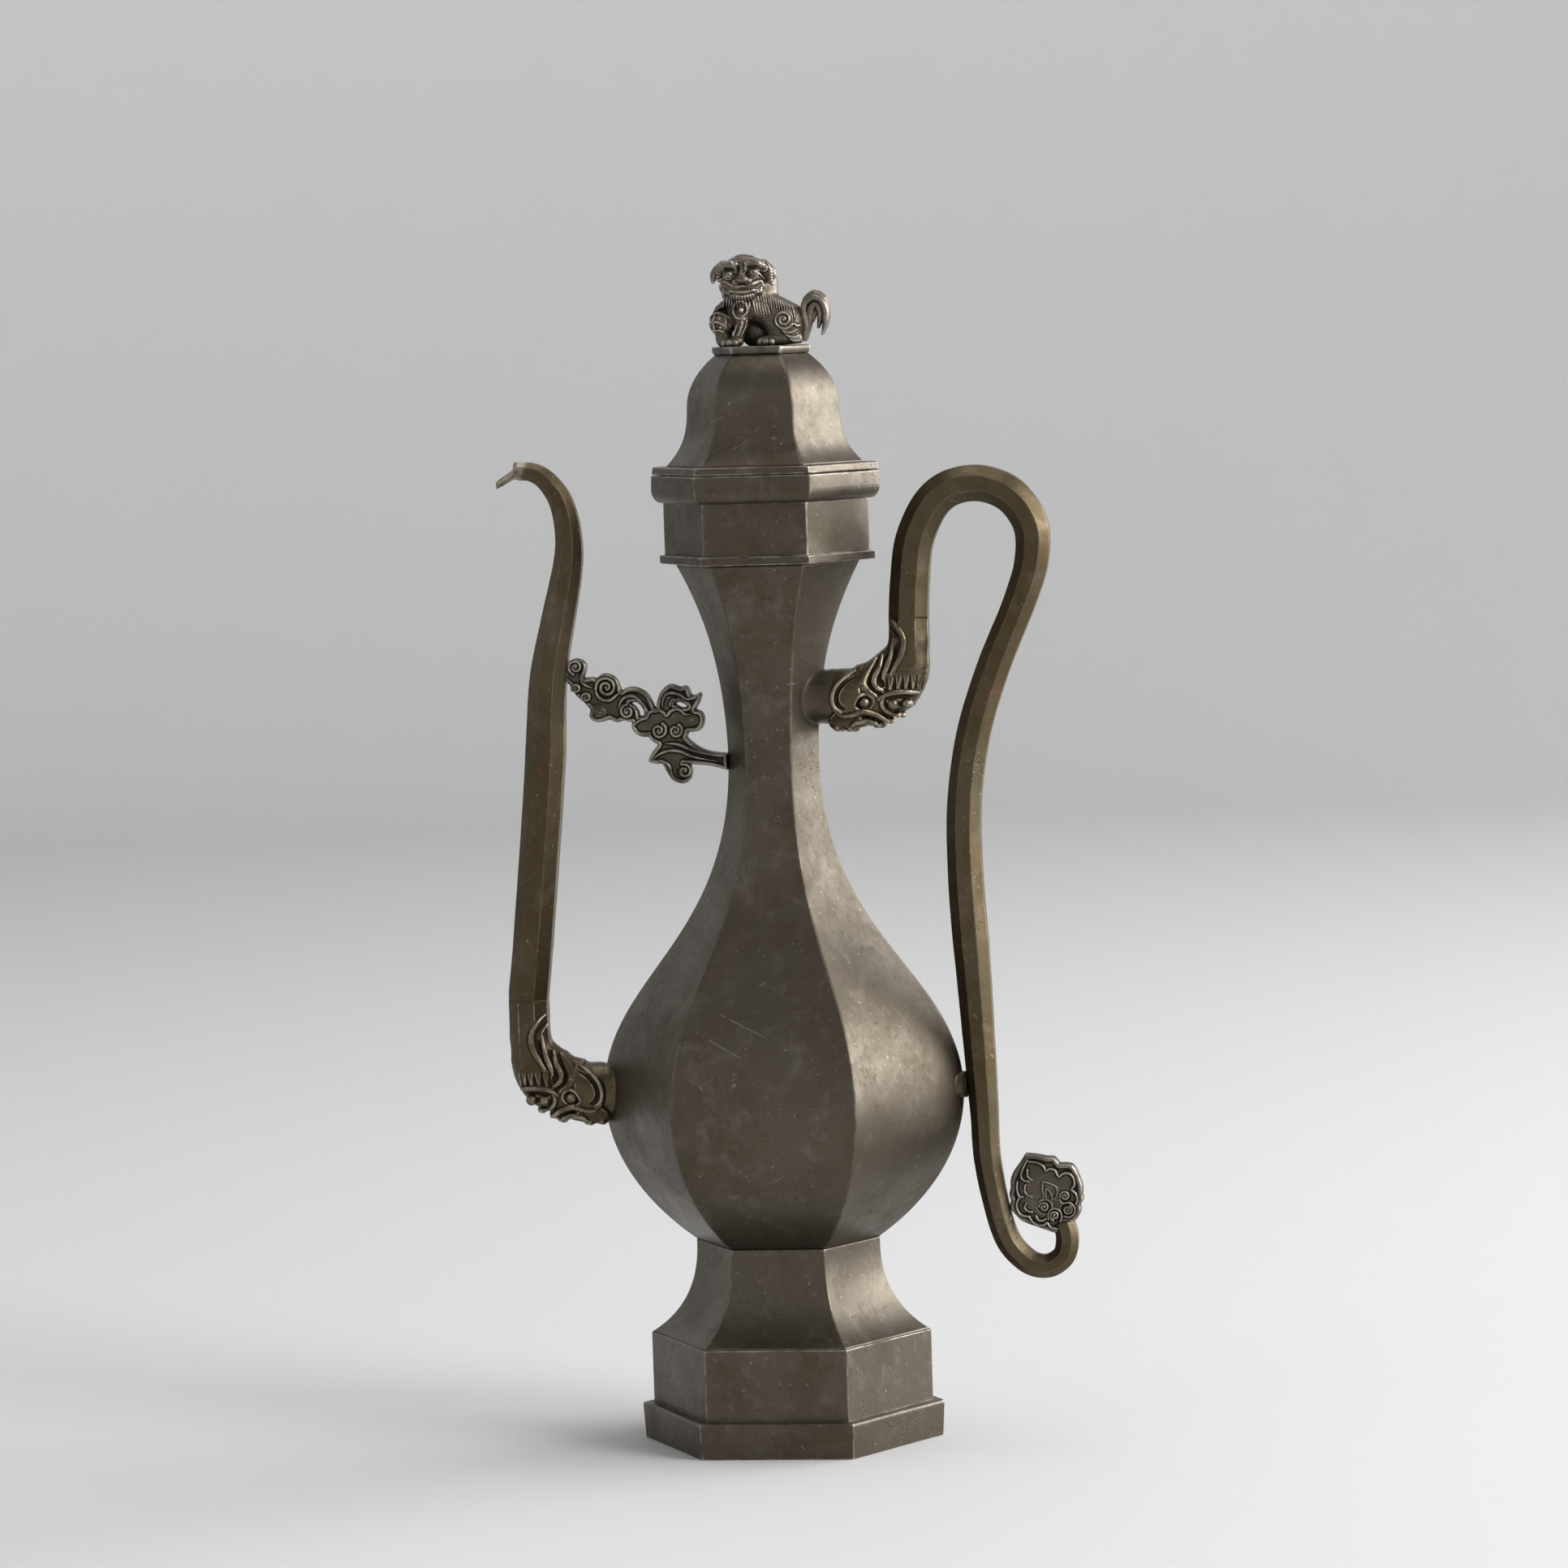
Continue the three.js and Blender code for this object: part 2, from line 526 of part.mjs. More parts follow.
// Openwork cloud strut between spout and neck, cast flat and alike on both faces. Its places
// are [along, up] from where it meets the spout, drawn for a gap of 64 to the neck at its stem.
function cloudStrut() {
  const anchorZ = SPOUT_ROOT_Z + STRUT_RISE;
  const nearest = spoutPath().getPoints(200).reduce((a, b) => (
    Math.abs(b.y - anchorZ) < Math.abs(a.y - anchorZ) ? b : a));
  const anchorX = nearest.x + BAR_WIDTH / 2;
  const tall = STRUT_RISE / 153;
  const stemZ = -26 * tall;
  const span = (-radiusAt(bodyLine, anchorZ + stemZ) - anchorX) / 64;
  const scrolls = [
    [[-3, 13], [-1.5, 12.8], [0.4, 12.5], [1.8, 14.7], [4.4, 15.7], [7.1, 15], [8.7, 12.7], [7.7, 8]],
    [[7.7, 8], [10.5, 8.4], [12.3, 7.9]],
    [[12.3, 7.9], [14.7, 9.5], [17.7, 9.3], [20.3, 7.3], [22.2, 2.9]],
    [[22.2, 2.9], [24.3, 4], [27.1, 4.2], [30, 3.2], [32.7, 0.9], [35.2, -4.4]],
  ];
  const flame = [
    [[35.4, -4.2], [35.8, -1.4], [37, 1.7], [39.2, 4], [41.7, 5], [45.3, 3.8]],
    [[45.3, 3.8], [47.2, 4.3], [48.7, 3], [49.5, 0.7], [51.1, 0.7], [52.9, 1.8]],
    [[52.9, 1.8], [53.5, 0.2], [52.6, -2.5], [51, -5.2]],
  ];
  const cloudEnd = [[51, -5.2], [53, -5.8], [54.3, -8.2], [53.8, -11.5], [51.8, -13.6], [47.9, -14]];
  const stem = [
    [[47.3, -15.9], [49.6, -18], [53.2, -20.4], [57.7, -21.7], [68, -22.5]],
    [[68, -29.8], [59.8, -28.4], [54.8, -27.2], [45.9, -26.3]],
  ];
  const hook = [
    [[45.9, -26.3], [47.7, -27.2], [48.7, -29.3], [48.2, -32], [45.9, -33.8], [43.2, -33.7],
      [40.3, -31.9], [37, -26.1]],
    [[37, -26.1], [34.3, -26.1], [31.4, -25.3]],
    [[31.4, -25.3], [32.6, -22.2], [35.5, -18.6]],
  ];
  const underside = [
    [[35.5, -18.6], [33.2, -17.2], [32.1, -15.6]],
    [[32.1, -15.6], [29.4, -15.5], [26.7, -13.9], [25.4, -11.6], [25.7, -9.8]],
    [[25.7, -9.8], [22.1, -9]],
    [[22.1, -9], [19.8, -9.7], [17.1, -8.5]],
    [[17.1, -8.5], [12.5, -9.5], [10, -8.6], [8.9, -6.7], [9.6, -4.5]],
    [[9.6, -4.5], [6.3, -0.8]],
    [[6.3, -0.8], [3.7, 1.5], [2.4, 4.3], [0.2, 6.6], [-3, 8.4]],
  ];
  const underArch = [[25.6, -2.1], [27.6, -1.9], [29.3, -3.3], [30.5, -5.4], [30.2, -7.2], [29, -7.2],
    [28.6, -5.3], [27.3, -3.3]];
  const flameSlit = [[43, -2.8], [44.8, -2.1], [47.6, -3.9], [45.6, -4.3]];
  const bar = STRUT_THICKNESS - 0.8;
  const outline = [...scrolls, ...flame, cloudEnd, ...stem, ...hook, ...underside];
  const plate = castPlate(outline, [underArch, flameSlit], bar);
  const raised = STRUT_THICKNESS;
  const relief = [
    scroll([5, 12.2], 2.6, 250, -1, raised),
    scroll([17.2, 4.4], 4, 200, -1.2, raised),
    ribbon([[13.4, 1.2], [17, -1], [21, 0.6], [25.6, 2.8], [30, 1.4], [33.6, -3.4]], SCROLL_LINE, raised),
    scroll([24.6, -5.8], 2.6, 100, 1, raised),
    scroll([36.3, -13.2], 3, 60, -1.1, raised),
    scroll([42.9, -13.4], 2.6, 60, -1.1, raised),
    ribbon([[37, -3.4], [38.2, 1], [41.8, 3.2], [45, 1.4], [49.6, -1], [52, 0]], SCROLL_LINE, raised),
    ribbon([[33, -24.4], [37, -21.6], [43, -22], [50, -24.6], [60, -26]], SCROLL_LINE, raised),
    scroll([45.2, -30], 2.2, 130, 0.9, raised),
    egg([12.8, 0, -6.6], [3, raised * 0.6, 2.4]),
  ];
  return union([plate, ...relief]).scale([span, 1, tall]).translate([anchorX, 0, anchorZ])
    .subtract(spoutTube(SOLDER)).subtract(bodyCutter());
}

// Scalloped head of lobes that closes the handle's curl, alike on both faces, drawn for a span
// of 29
function ruyiHead() {
  const end = handlePath().getPoint(1);
  const size = RUYI_SPAN / 29;
  const lobes = [
    [-10.8, 22.6, 5.2], [-3.2, 23, 5.8], [2.6, 19.6, 4.8], [5, 10.8, 3.2], [3, 5.2, 3.6],
    [-2.6, 2.4, 4.4], [-8.8, 4, 4.2], [-14.4, 8.6, 4.4], [-16.4, 15.4, 3.8], [-13.8, 22.4, 3.6],
  ];
  const plate = union([
    coin([-6, 13.4], 11.4, RUYI_THICKNESS - 1.6, 12),
    ...lobes.map(([x, z, r]) => coin([x, z], r, RUYI_THICKNESS - 1.6, 8)),
    ribbon([[-11, 22], [-13.4, 28.2]], [6, 1.2], RUYI_THICKNESS - 1.6),
  ]);
  const raised = union([
    coin([-6, 13.4], 11.4 - RUYI_BORDER, RUYI_THICKNESS, 12),
    ...lobes.map(([x, z, r]) => coin([x, z], r - RUYI_BORDER, RUYI_THICKNESS, 6)),
  ]);
  return plate.add(raised).scale([size, 1, size]).translate([end.x, 0, end.y])
    .subtract(handleTube(SOLDER));
}

// Guardian lion seated in profile, its head turned to the front, one paw on a ball, drawn for
// a height of 35.2
function guardianLion() {
  const size = LION_HEIGHT / 35.2;
  const body = [
    limb([[10.5, 0, 9.5, 7.2], [3, 0, 13.4, 7.4], [-4.5, 0, 16.6, 7.2], [-8, -1, 20.5, 6.4]], 8),
    egg([8.6, -4.6, 9.4], [6.2, 3.8, 6.6], 8),
    egg([8.6, 4.6, 9.4], [6.2, 3.8, 6.6], 8),
    egg([-7.6, -0.6, 13], [5.8, 6.4, 7.2], 8),
  ];
  const legs = [
    limb([[-5.6, -4.4, 14, 4.2], [-6.4, -5.6, 8, 2.9], [-7.6, -5.8, 3.6, 2.3], [-8.6, -6, 1.2, 2.2]]),
    egg([-11.2, -5.4, 1.8], [4.8, 3.4, 2.2], 7),
    limb([[-8.6, 3, 13.4, 3.6], [-12, 2.2, 15, 2.6], [-14.6, 0.2, 15.4, 2.4]]),
    egg([-15.2, -1, 15.2], [3, 2.8, 1.9], 6),
    egg([-15, -1.4, 9], [5.9, 5.8, 6], 7),
    egg([4.6, -7.6, 1.9], [6.4, 3, 2.2], 7),
    egg([4.6, 7.2, 1.9], [6.4, 3, 2.2], 7),
    egg([9, 0, 3], [7.4, 7.2, 3.4], 7),
    limb([[-6, 4.4, 8, 2.8], [-5.2, 5, 1.2, 2.2]]),
  ];
  const head = [
    egg([-7.1, -3, 23.8], [9, 8, 9], 9),
    egg([-7.4, -2, 30], [7.8, 6.4, 5.2], 8),
    egg([-8.6, -9.4, 20.4], [6.6, 3.8, 3.2], 7),
    egg([-8.6, -8.4, 17.2], [6, 3.8, 2.2], 7),
    egg([-8.8, -13, 23], [2.5, 1.5, 1.7], 6),
    egg([-12.6, -9.6, 27.6], [3.2, 2, 1.6], 6),
    egg([-3, -9.8, 28.2], [3.6, 2, 1.7], 6),
    egg([-12.2, -10.2, 24.8], [2, 1.7, 2], 6),
    egg([-3.2, -10.4, 25.4], [2.1, 1.7, 2.1], 6),
    limb([[-13, -3.6, 28, 1.6], [-17.4, -4.4, 25.8, 2.2], [-18.8, -4.6, 22, 1.2]]),
    limb([[-1, -3, 29, 1.8], [2.6, -3.8, 26.4, 2.6], [2.8, -4.4, 22, 1.5]]),
  ];
  const tail = limb([[13.6, 0, 3.4, 2], [16.6, 0, 9, 2.4], [17, 0, 15, 2.6], [19.6, 0, 18.4, 2.7],
    [22.4, 0, 15, 2.7], [22.8, 0, 9.4, 2], [22, 0, 5.4, 0.8]]);
  const below = solid(new THREE.BoxGeometry(80, 80, 20).translate(0, 0, -10));
  return union([...body, ...legs, ...head, tail]).subtract(below)
    .scale([size, size, size]).translate([0, 0, LION_Z]);
}

function footRim() {
  const shelf = FOOT_BAND_RADIUS - (SHEET + 1.4) * flatToCorner;
  const [r, h] = [FOOT_RIM_RADIUS, FOOT_RIM_HEIGHT];
  return hexTurned([
    [r - FOOT_RIM_TAPER, 0], ...arcPoints(r - FOOT_RIM_ROUND, h - FOOT_RIM_ROUND, FOOT_RIM_ROUND, 0, 90, 3),
    [shelf, h], [shelf, h - FOOT_RIM_SHELF],
    [r - FOOT_RIM_TAPER - FOOT_RIM_WALL * flatToCorner, h - FOOT_RIM_SHELF],
    [r - FOOT_RIM_TAPER - FOOT_RIM_WALL * flatToCorner, 0],
  ]);
}

function hexBand(radius, wall, from, height) {
  const inside = radius - wall * flatToCorner;
  return hexTurned([[radius, from], [radius, from + height], [inside, from + height], [inside, from]]);
}

// Bottom of the vessel: a plate with its edge bevelled to the slope of the belly
function vesselFloor() {
  const room = (SHEET * 1.75 + SOLDER) * flatToCorner;
  const base = BODY_Z + SHEET * 1.4;
  const [low, high] = [base, base + FLOOR_THICKNESS].map((z) => radiusAt(bodyLine, z) - room);
  return hexTurned([[0, base], [low, base], [high, base + FLOOR_THICKNESS], [0, base + FLOOR_THICKNESS]]);
}

const MOUTH_INSIDE = MOUTH_BAND_RADIUS - SHEET * flatToCorner;

function mouthRim() {
  const [r, z, h] = [MOUTH_RIM_RADIUS, MOUTH_RIM_Z, MOUTH_RIM_HEIGHT];
  const foot = MOUTH_BAND_RADIUS + 0.6;
  const quarter = arcPoints(0, 0, 1, -90, 0, 5).map(([x, y]) => [
    foot + (r - foot) * x, z + MOUTH_RIM_ROUND * (1 + y),
  ]);
  return hexTurned([...quarter, [r - 0.2, z + h], [MOUTH_INSIDE, z + h], [MOUTH_INSIDE, z]]);
}

function lidPlug() {
  const depth = LID_PLUG_DEPTH - LID_SEAT_GAP;
  return hexBand(MOUTH_INSIDE - LID_FIT, LID_PLUG_WALL, LID_Z - SOLDER - depth, depth);
}

function lidPlate() {
  const inside = MOUTH_INSIDE - LID_FIT - LID_PLUG_WALL * flatToCorner;
  return hexTurned([
    [LID_PLATE_RADIUS, LID_Z], [LID_PLATE_RADIUS - 0.4, LID_Z + LID_PLATE_HEIGHT],
    [inside, LID_Z + LID_PLATE_HEIGHT], [inside, LID_Z],
  ]);
}

function finialPlate() {
  const [z, h] = [FINIAL_Z, FINIAL_PLATE_HEIGHT];
  return hexTurned([
    [0, z], [FINIAL_PLATE_RADIUS - 1, z], [FINIAL_PLATE_RADIUS, z + h], [0, z + h],
  ]);
}

// Six copies of a panel round the axis, named from 1 in turn from the one beside the handle
function panels(name, shape, look) {
  return Array.from({ length: SIDES }, (_, i) => {
    const turned = shape.rotate([0, 0, 30 + (360 / SIDES) * i]);
    return [`${name}_${i + 1}`, turned, look];
  });
}

const cutter = bodyCutter();
const bodyPanels = panels('body_panel', sheetPanel(bodyLine), pewter).map(([name, shape, look]) => (
  [name, shape.subtract(spoutChannel()), look]));
const spoutCollar = alongX(SPOUT_X + DRAGON_REACH + SOLDER, -BELLY_RADIUS / 2, COLLAR_RADIUS, SPOUT_ROOT_Z)
  .subtract(cutter).subtract(spoutChannel());
const spoutDragon = dragon(SPOUT_SHANK).mirror([1, 0, 0]).translate([SPOUT_X, 0, SPOUT_ROOT_Z])
  .subtract(spoutChannel());
const handleCollar = alongX(THROAT_RADIUS / 2, HANDLE_X - DRAGON_REACH - SOLDER, COLLAR_RADIUS, HANDLE_ROOT_Z)
  .subtract(cutter);
const handleDragon = dragon(HANDLE_SHANK).translate([HANDLE_X, 0, HANDLE_ROOT_Z]);
const peg = alongX(BELLY_RADIUS - PEG_RADIUS, BELLY_RADIUS + HANDLE_GAP + PEG_RADIUS, PEG_RADIUS, BELLY_Z + 2)
  .subtract(cutter).subtract(handleTube(SOLDER));

const pieces = [
  ['foot_rim', footRim(), pewter],
  ['foot_band', hexBand(FOOT_BAND_RADIUS, SHEET, FOOT_BAND_Z, FOOT_BAND_HEIGHT), pewter],
  ...panels('foot_flare_panel', sheetPanel(footProfile()), pewter),
  ...bodyPanels,
  ['vessel_floor', vesselFloor(), pewter],
  ['mouth_flange', hexBand(MOUTH_FLANGE_RADIUS, 7.2, MOUTH_FLANGE_Z, MOUTH_FLANGE_HEIGHT), pewter],
  ['mouth_band', hexBand(MOUTH_BAND_RADIUS, SHEET, MOUTH_BAND_Z, MOUTH_BAND_HEIGHT), pewter],
  ['mouth_rim', mouthRim(), pewter],
  ['spout_collar', spoutCollar, warmPewter],
  ['spout_dragon', spoutDragon, warmPewter],
  ['spout_tube', spout(), warmPewter],
  ['cloud_strut', cloudStrut(), castPewter],
  ['handle_collar', handleCollar, castPewter],
  ['handle_dragon', handleDragon, castPewter],
  ['handle_bar', handleTube(), warmPewter],
  ['handle_peg', peg, castPewter],
  ['ruyi_head', ruyiHead(), castPewter],
  ['lid_plug', lidPlug(), pewter],
  ['lid_plate', lidPlate(), pewter],
  ...panels('dome_panel', sheetPanel(domeProfile()), pewter),
  ['finial_plate', finialPlate(), castPewter],
  ['guardian_lion', guardianLion(), castPewter],
];

// The origin lies on the table, midway between the outermost points of spout and handle.
const ewer = new THREE.Group();
pieces.forEach(([name, shape, look]) => ewer.add(piece(name, shape, look)));
const bounds = new THREE.Box3().setFromObject(ewer);
ewer.position.x = -(bounds.min.x + bounds.max.x) / 2;

export default ewer;
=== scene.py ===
import copy
import math

import bpy
import numpy as np
from mathutils import Matrix, Vector


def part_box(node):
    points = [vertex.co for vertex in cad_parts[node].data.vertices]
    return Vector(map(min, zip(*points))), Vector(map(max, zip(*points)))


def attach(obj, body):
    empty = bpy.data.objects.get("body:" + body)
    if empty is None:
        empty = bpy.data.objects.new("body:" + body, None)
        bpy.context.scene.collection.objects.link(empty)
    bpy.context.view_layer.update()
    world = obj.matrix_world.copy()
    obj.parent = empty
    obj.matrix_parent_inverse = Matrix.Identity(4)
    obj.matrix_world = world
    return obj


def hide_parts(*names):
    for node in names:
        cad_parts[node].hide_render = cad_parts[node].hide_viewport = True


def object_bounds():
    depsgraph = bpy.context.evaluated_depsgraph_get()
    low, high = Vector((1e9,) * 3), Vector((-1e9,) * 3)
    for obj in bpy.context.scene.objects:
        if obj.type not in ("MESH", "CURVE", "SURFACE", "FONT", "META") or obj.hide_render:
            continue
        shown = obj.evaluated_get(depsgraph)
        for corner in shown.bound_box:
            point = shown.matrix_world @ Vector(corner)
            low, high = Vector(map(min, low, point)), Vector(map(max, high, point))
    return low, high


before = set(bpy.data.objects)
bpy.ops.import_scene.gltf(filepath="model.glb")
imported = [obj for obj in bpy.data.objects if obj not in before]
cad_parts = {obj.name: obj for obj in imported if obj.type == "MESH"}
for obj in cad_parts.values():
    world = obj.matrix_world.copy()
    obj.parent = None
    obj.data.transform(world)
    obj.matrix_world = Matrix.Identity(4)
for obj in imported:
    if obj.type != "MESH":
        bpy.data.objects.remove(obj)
CAD_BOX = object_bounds()
scene = bpy.context.scene

# Sizes in mm, measured from the ewer's own axis, which stands at x = AXIS in the frame. A name
# that ends in _Z is a height above the table, one in _X a distance from the axis, and one in _R
# the radius at the six corners. SHEET is a thickness, BAR a width and COLLAR a radius.
rim_lo, rim_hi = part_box("foot_rim")
AXIS = (rim_lo[0] + rim_hi[0]) / 2 * 1000
SHEET = 1.8
BAR = 15.2
COLLAR = 10.4
FOOT_R, WAIST_R, BELLY_R, THROAT_R, NECK_TOP_R = 55, 36.1, 70.7, 18.0, 36.4
FOOT_TOP_Z, BODY_Z, BELLY_Z, THROAT_Z, NECK_TOP_Z = 41.8, 78.4, 135.4, 265.4, 342.0
THROAT_HEIGHT = THROAT_Z - BELLY_Z
DOME_R, DOME_WAIST_R, DOME_TOP_R = 38.7, 29.9, 18
DOME_Z, DOME_WAIST_Z, DOME_TOP_Z, LION_Z = 379.7, 401.7, 422.0, 425.3
SPOUT_X, SPOUT_TIP_X, SPOUT_ROOT_Z, SPOUT_HEIGHT, SPOUT_SHANK = -99.2, -106.6, 137.4, 241.9, 36
HANDLE_X, HANDLE_ROOT_Z, HANDLE_ARCH, HANDLE_DROP, HANDLE_SHANK = 54.26, 289.0, 81.0, 69.4, 30
HANDLE_LOW_X = 78.2
DRAGON_REACH = 27
STRUT_X, STRUT_Z = -80.5, 290.4
RUYI_X, RUYI_Z = 107.6, 81.4
COS30, COS45, ROOT3 = math.cos(math.pi / 6), 0.7071, math.sqrt(3)
MM = 0.001

# Spacing in mm of the points along a bar, and of the grids of the castings and the lion; and the
# distance that stands for empty space on such a grid.
BAR_STEP, CAST_STEP, LION_STEP = 1.4, 0.25, 0.24
EMPTY = 5.0


# Curves and noise
def bezier(p, n):
    t = np.linspace(0, 1, n)[:, None]
    p = [np.array(q, float) for q in p]
    return ((1 - t) ** 3 * p[0] + 3 * (1 - t) ** 2 * t * p[1]
            + 3 * (1 - t) * t ** 2 * p[2] + t ** 3 * p[3])


def spline(points, per_span):
    """Catmull-Rom curve through points of any number of values."""
    p = np.array(points, float)
    p = np.vstack([p[0], p, p[-1]])
    t = np.arange(per_span)[:, None] / per_span
    out = []
    for a, b, c, d in zip(p, p[1:], p[2:], p[3:]):
        v0, v1 = (c - a) / 2, (d - b) / 2
        out.append((2 * b - 2 * c + v0 + v1) * t ** 3 + (-3 * b + 3 * c - 2 * v0 - v1) * t ** 2
                   + v0 * t + b)
    return np.vstack([*out, p[-1:]])


def smooth_step(t):
    t = np.clip(t, 0, 1)
    return t * t * (3 - 2 * t)


def curl(centre, radius, start, turns, end):
    """Points of a flat spiral that winds inward from a number of degrees to a share of r."""
    t = np.linspace(0, 1, max(4, int(abs(turns) * 14)))
    a = math.radians(start) + t * turns * 2 * math.pi
    r = radius * (1 - t) + radius * end * t
    return np.column_stack([centre[0] + r * np.cos(a), centre[1] + r * np.sin(a)])


HASH = (374761393, 668265263, 1103515245)


def noise(p, size, seed):
    """Smooth value noise from -1 to 1 at points p, with lumps of the given size in mm."""
    q = p / size + 311.7 * seed
    i = np.floor(q).astype(np.int64)
    f = smooth_step(q - i)
    total = 0
    for corner in np.ndindex(2, 2, 2):
        h = (i + corner) @ HASH + seed * 974711 & 0xFFFFFFFF
        h = (h ^ (h >> 13)) * 1274126177 & 0xFFFFFFFF
        value = ((h ^ (h >> 16)) & 0xFFFF) / 32767.5 - 1
        total = total + np.prod(np.where(corner, f, 1 - f), axis=1) * value
    return total


# Meshes
def normals_of(v, faces):
    n = np.cross(v[faces[:, 2]] - v[faces[:, 0]], v[faces[:, -1]] - v[faces[:, 1]])
    n = np.column_stack([sum(np.bincount(corner, part, len(v)) for corner in faces.T)
                         for part in n.T])
    return n / np.maximum(np.linalg.norm(n, axis=1, keepdims=True), 1e-9)


class Neighbours:
    """Averages over the points that share an edge with each point."""

    def __init__(self, faces, count):
        a, b = faces.ravel(), np.roll(faces, -1, axis=1).ravel()
        self.a, self.b, self.count = np.concatenate([a, b]), np.concatenate([b, a]), count
        self.degree = np.maximum(np.bincount(self.a, minlength=count), 1)

    def mean(self, values):
        if values.ndim == 1:
            return np.bincount(self.a, values[self.b], self.count) / self.degree
        return np.column_stack([self.mean(column) for column in values.T])


def edge_marks(v, faces, gain, blur):
    """How sharp an edge or high place is, and how sharp a crease, each from 0 to 1."""
    near = Neighbours(faces, len(v))
    n = normals_of(v, faces)
    edge = v[near.b] - v[near.a]
    bend = ((n[near.b] - n[near.a]) * edge).sum(1) / np.maximum((edge ** 2).sum(1), 0.01)
    bend = np.bincount(near.a, bend, len(v)) / near.degree
    for _ in range(blur):
        bend = (bend + near.mean(bend)) / 2
    return np.clip((bend - 0.12) * gain, 0, 1), np.clip((-bend - 0.06) * gain, 0, 1)


def new_object(name, points, faces, material):
    mesh = bpy.data.meshes.new(name)
    mesh.from_pydata(points.tolist(), [], faces)
    mesh.polygons.foreach_set("use_smooth", [True] * len(mesh.polygons))
    mesh.materials.append(material)
    made = bpy.data.objects.new(name, mesh)
    scene.collection.objects.link(made)
    return made


def add_piece(name, v, faces, metal, body, nodes, gain, blur=1, caps=(), rubbed_and_lit=0.0):
    """A mesh from mm round the ewer's axis, riding on a body and standing for CAD nodes. caps are
    flat faces left out of its edge marks, and the last argument is added to its edge mask of real
    wear and painted highlight."""
    wear_and_highlight, hollow = edge_marks(v, faces, gain, blur)
    placed = (v + [AXIS, 0, 0]) * MM
    placed = np.clip(placed, np.array(CAD_BOX[0]) + 1e-6, np.array(CAD_BOX[1]) - 1e-6)
    piece = new_object(name, placed, faces.tolist() + [list(c) for c in caps], metal)
    # Edge mask: real wear on arrises and high places, and also a painted highlight where a lamp
    # would catch those edges.
    for key, values in (("wear_and_highlight", np.clip(wear_and_highlight + rubbed_and_lit, 0, 1)), ("hollow", hollow)):
        layer = piece.data.attributes.new(key, "FLOAT", "POINT")
        layer.data.foreach_set("value", values.astype(np.float32))
    piece.data.update()
    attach(piece, body)
    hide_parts(*nodes)


def ring_faces(rows, cols, closed_rows=False):
    """Quads over a grid of rows by cols whose columns close on themselves."""
    r = np.arange(rows if closed_rows else rows - 1)[:, None] * cols
    c = np.arange(cols)[None, :]
    nxt = (c + 1) % cols
    up = (r + cols) % (rows * cols)
    return np.stack([r + c, r + nxt, up + nxt, up + c], -1).reshape(-1, 4)


def end_caps(count, ring, order):
    """Faces over the first and last rings, whose points run in the order 1 or -1."""
    return [range(ring)[::order], range(count - ring, count)[::-order]]


def direction(angle):
    return np.array([math.cos(angle), math.sin(angle)])


def polygon_ring(sides, phase, flat_steps, arc_steps):
    """Unit ring of a rounded polygon: a point is its apothem times a plus its rounding times b."""
    half = math.pi / sides
    a, b = [], []
    for k in range(sides):
        corner = phase + 2 * k * half
        at = direction(corner) / math.cos(half)
        for s in np.linspace(-half, half, arc_steps + 1):
            a.append(at)
            b.append(direction(corner + s) - at)
        after = corner + 2 * half
        to = direction(after) / math.cos(half)
        to_round = direction(after - half) - to
        from_round = b[-1]
        close = 0.025
        for t in (close, *np.linspace(0, 1, flat_steps + 1)[1:-1], 1 - close):
            a.append(at * (1 - t) + to * t)
            b.append(from_round * (1 - t) + to_round * t)
    return np.array(a), np.array(b)


HEX = polygon_ring(6, 0, 26, 6)
OCTAGON = polygon_ring(8, math.pi / 8, 4, 3)


def hex_rings(profile, rounding):
    """Rounded six-sided rings through a profile of [corner radius, height]."""
    p = np.array(profile, float)
    a, b = HEX
    apothem = p[:, 0] * COS30
    rho = np.minimum(rounding, apothem * 0.6)
    xy = apothem[:, None, None] * a[None] + rho[:, None, None] * b[None]
    z = np.repeat(p[:, 1][:, None], len(a), 1)
    return np.concatenate([xy, z[..., None]], -1).reshape(-1, 3)


def rounded(profile, radii):
    """A closed profile with its corners rounded, by one radius or by one for each corner."""
    p = np.array(profile, float)
    out = []
    for a, b, c, r in zip(np.roll(p, 1, axis=0), p, np.roll(p, -1, axis=0),
                          np.broadcast_to(radii, len(p))):
        la, lc = np.linalg.norm(a - b), np.linalg.norm(c - b)
        r = min(r, la * 0.45, lc * 0.45)
        s, e = b + (a - b) / la * r, b + (c - b) / lc * r
        for t in np.linspace(0, 1, 4):
            out.append((1 - t) ** 2 * s + 2 * t * (1 - t) * b + t ** 2 * e)
    return np.array(out)


def dense(profile, longest=3, close=0.45):
    """A closed profile with long stretches divided, and points close to their ends."""
    out = []
    for a, b in zip(profile, np.roll(profile, -1, axis=0)):
        length = np.linalg.norm(b - a)
        n = max(1, int(length / longest))
        near = close / length
        t = np.arange(n) / n if near > 0.3 else [0, near, *(np.arange(1, n) / n), 1 - near]
        out += [a + (b - a) * u for u in t]
    return np.array(out)


def sheet_profile(line):
    """Closed profile of a sheet with its outside on a line of [corner radius, height]."""
    outer = line * [COS30, 1]
    d = np.gradient(outer, axis=0)
    d /= np.linalg.norm(d, axis=1, keepdims=True)
    inner = outer + np.column_stack([-d[:, 1], d[:, 0]]) * SHEET
    inner = inner[(inner[:, 1] > line[0, 1] + 0.05) & (inner[:, 1] < line[-1, 1] - 0.05)]
    inner[:, 0] /= COS30
    return np.vstack([line, inner[::-1]])


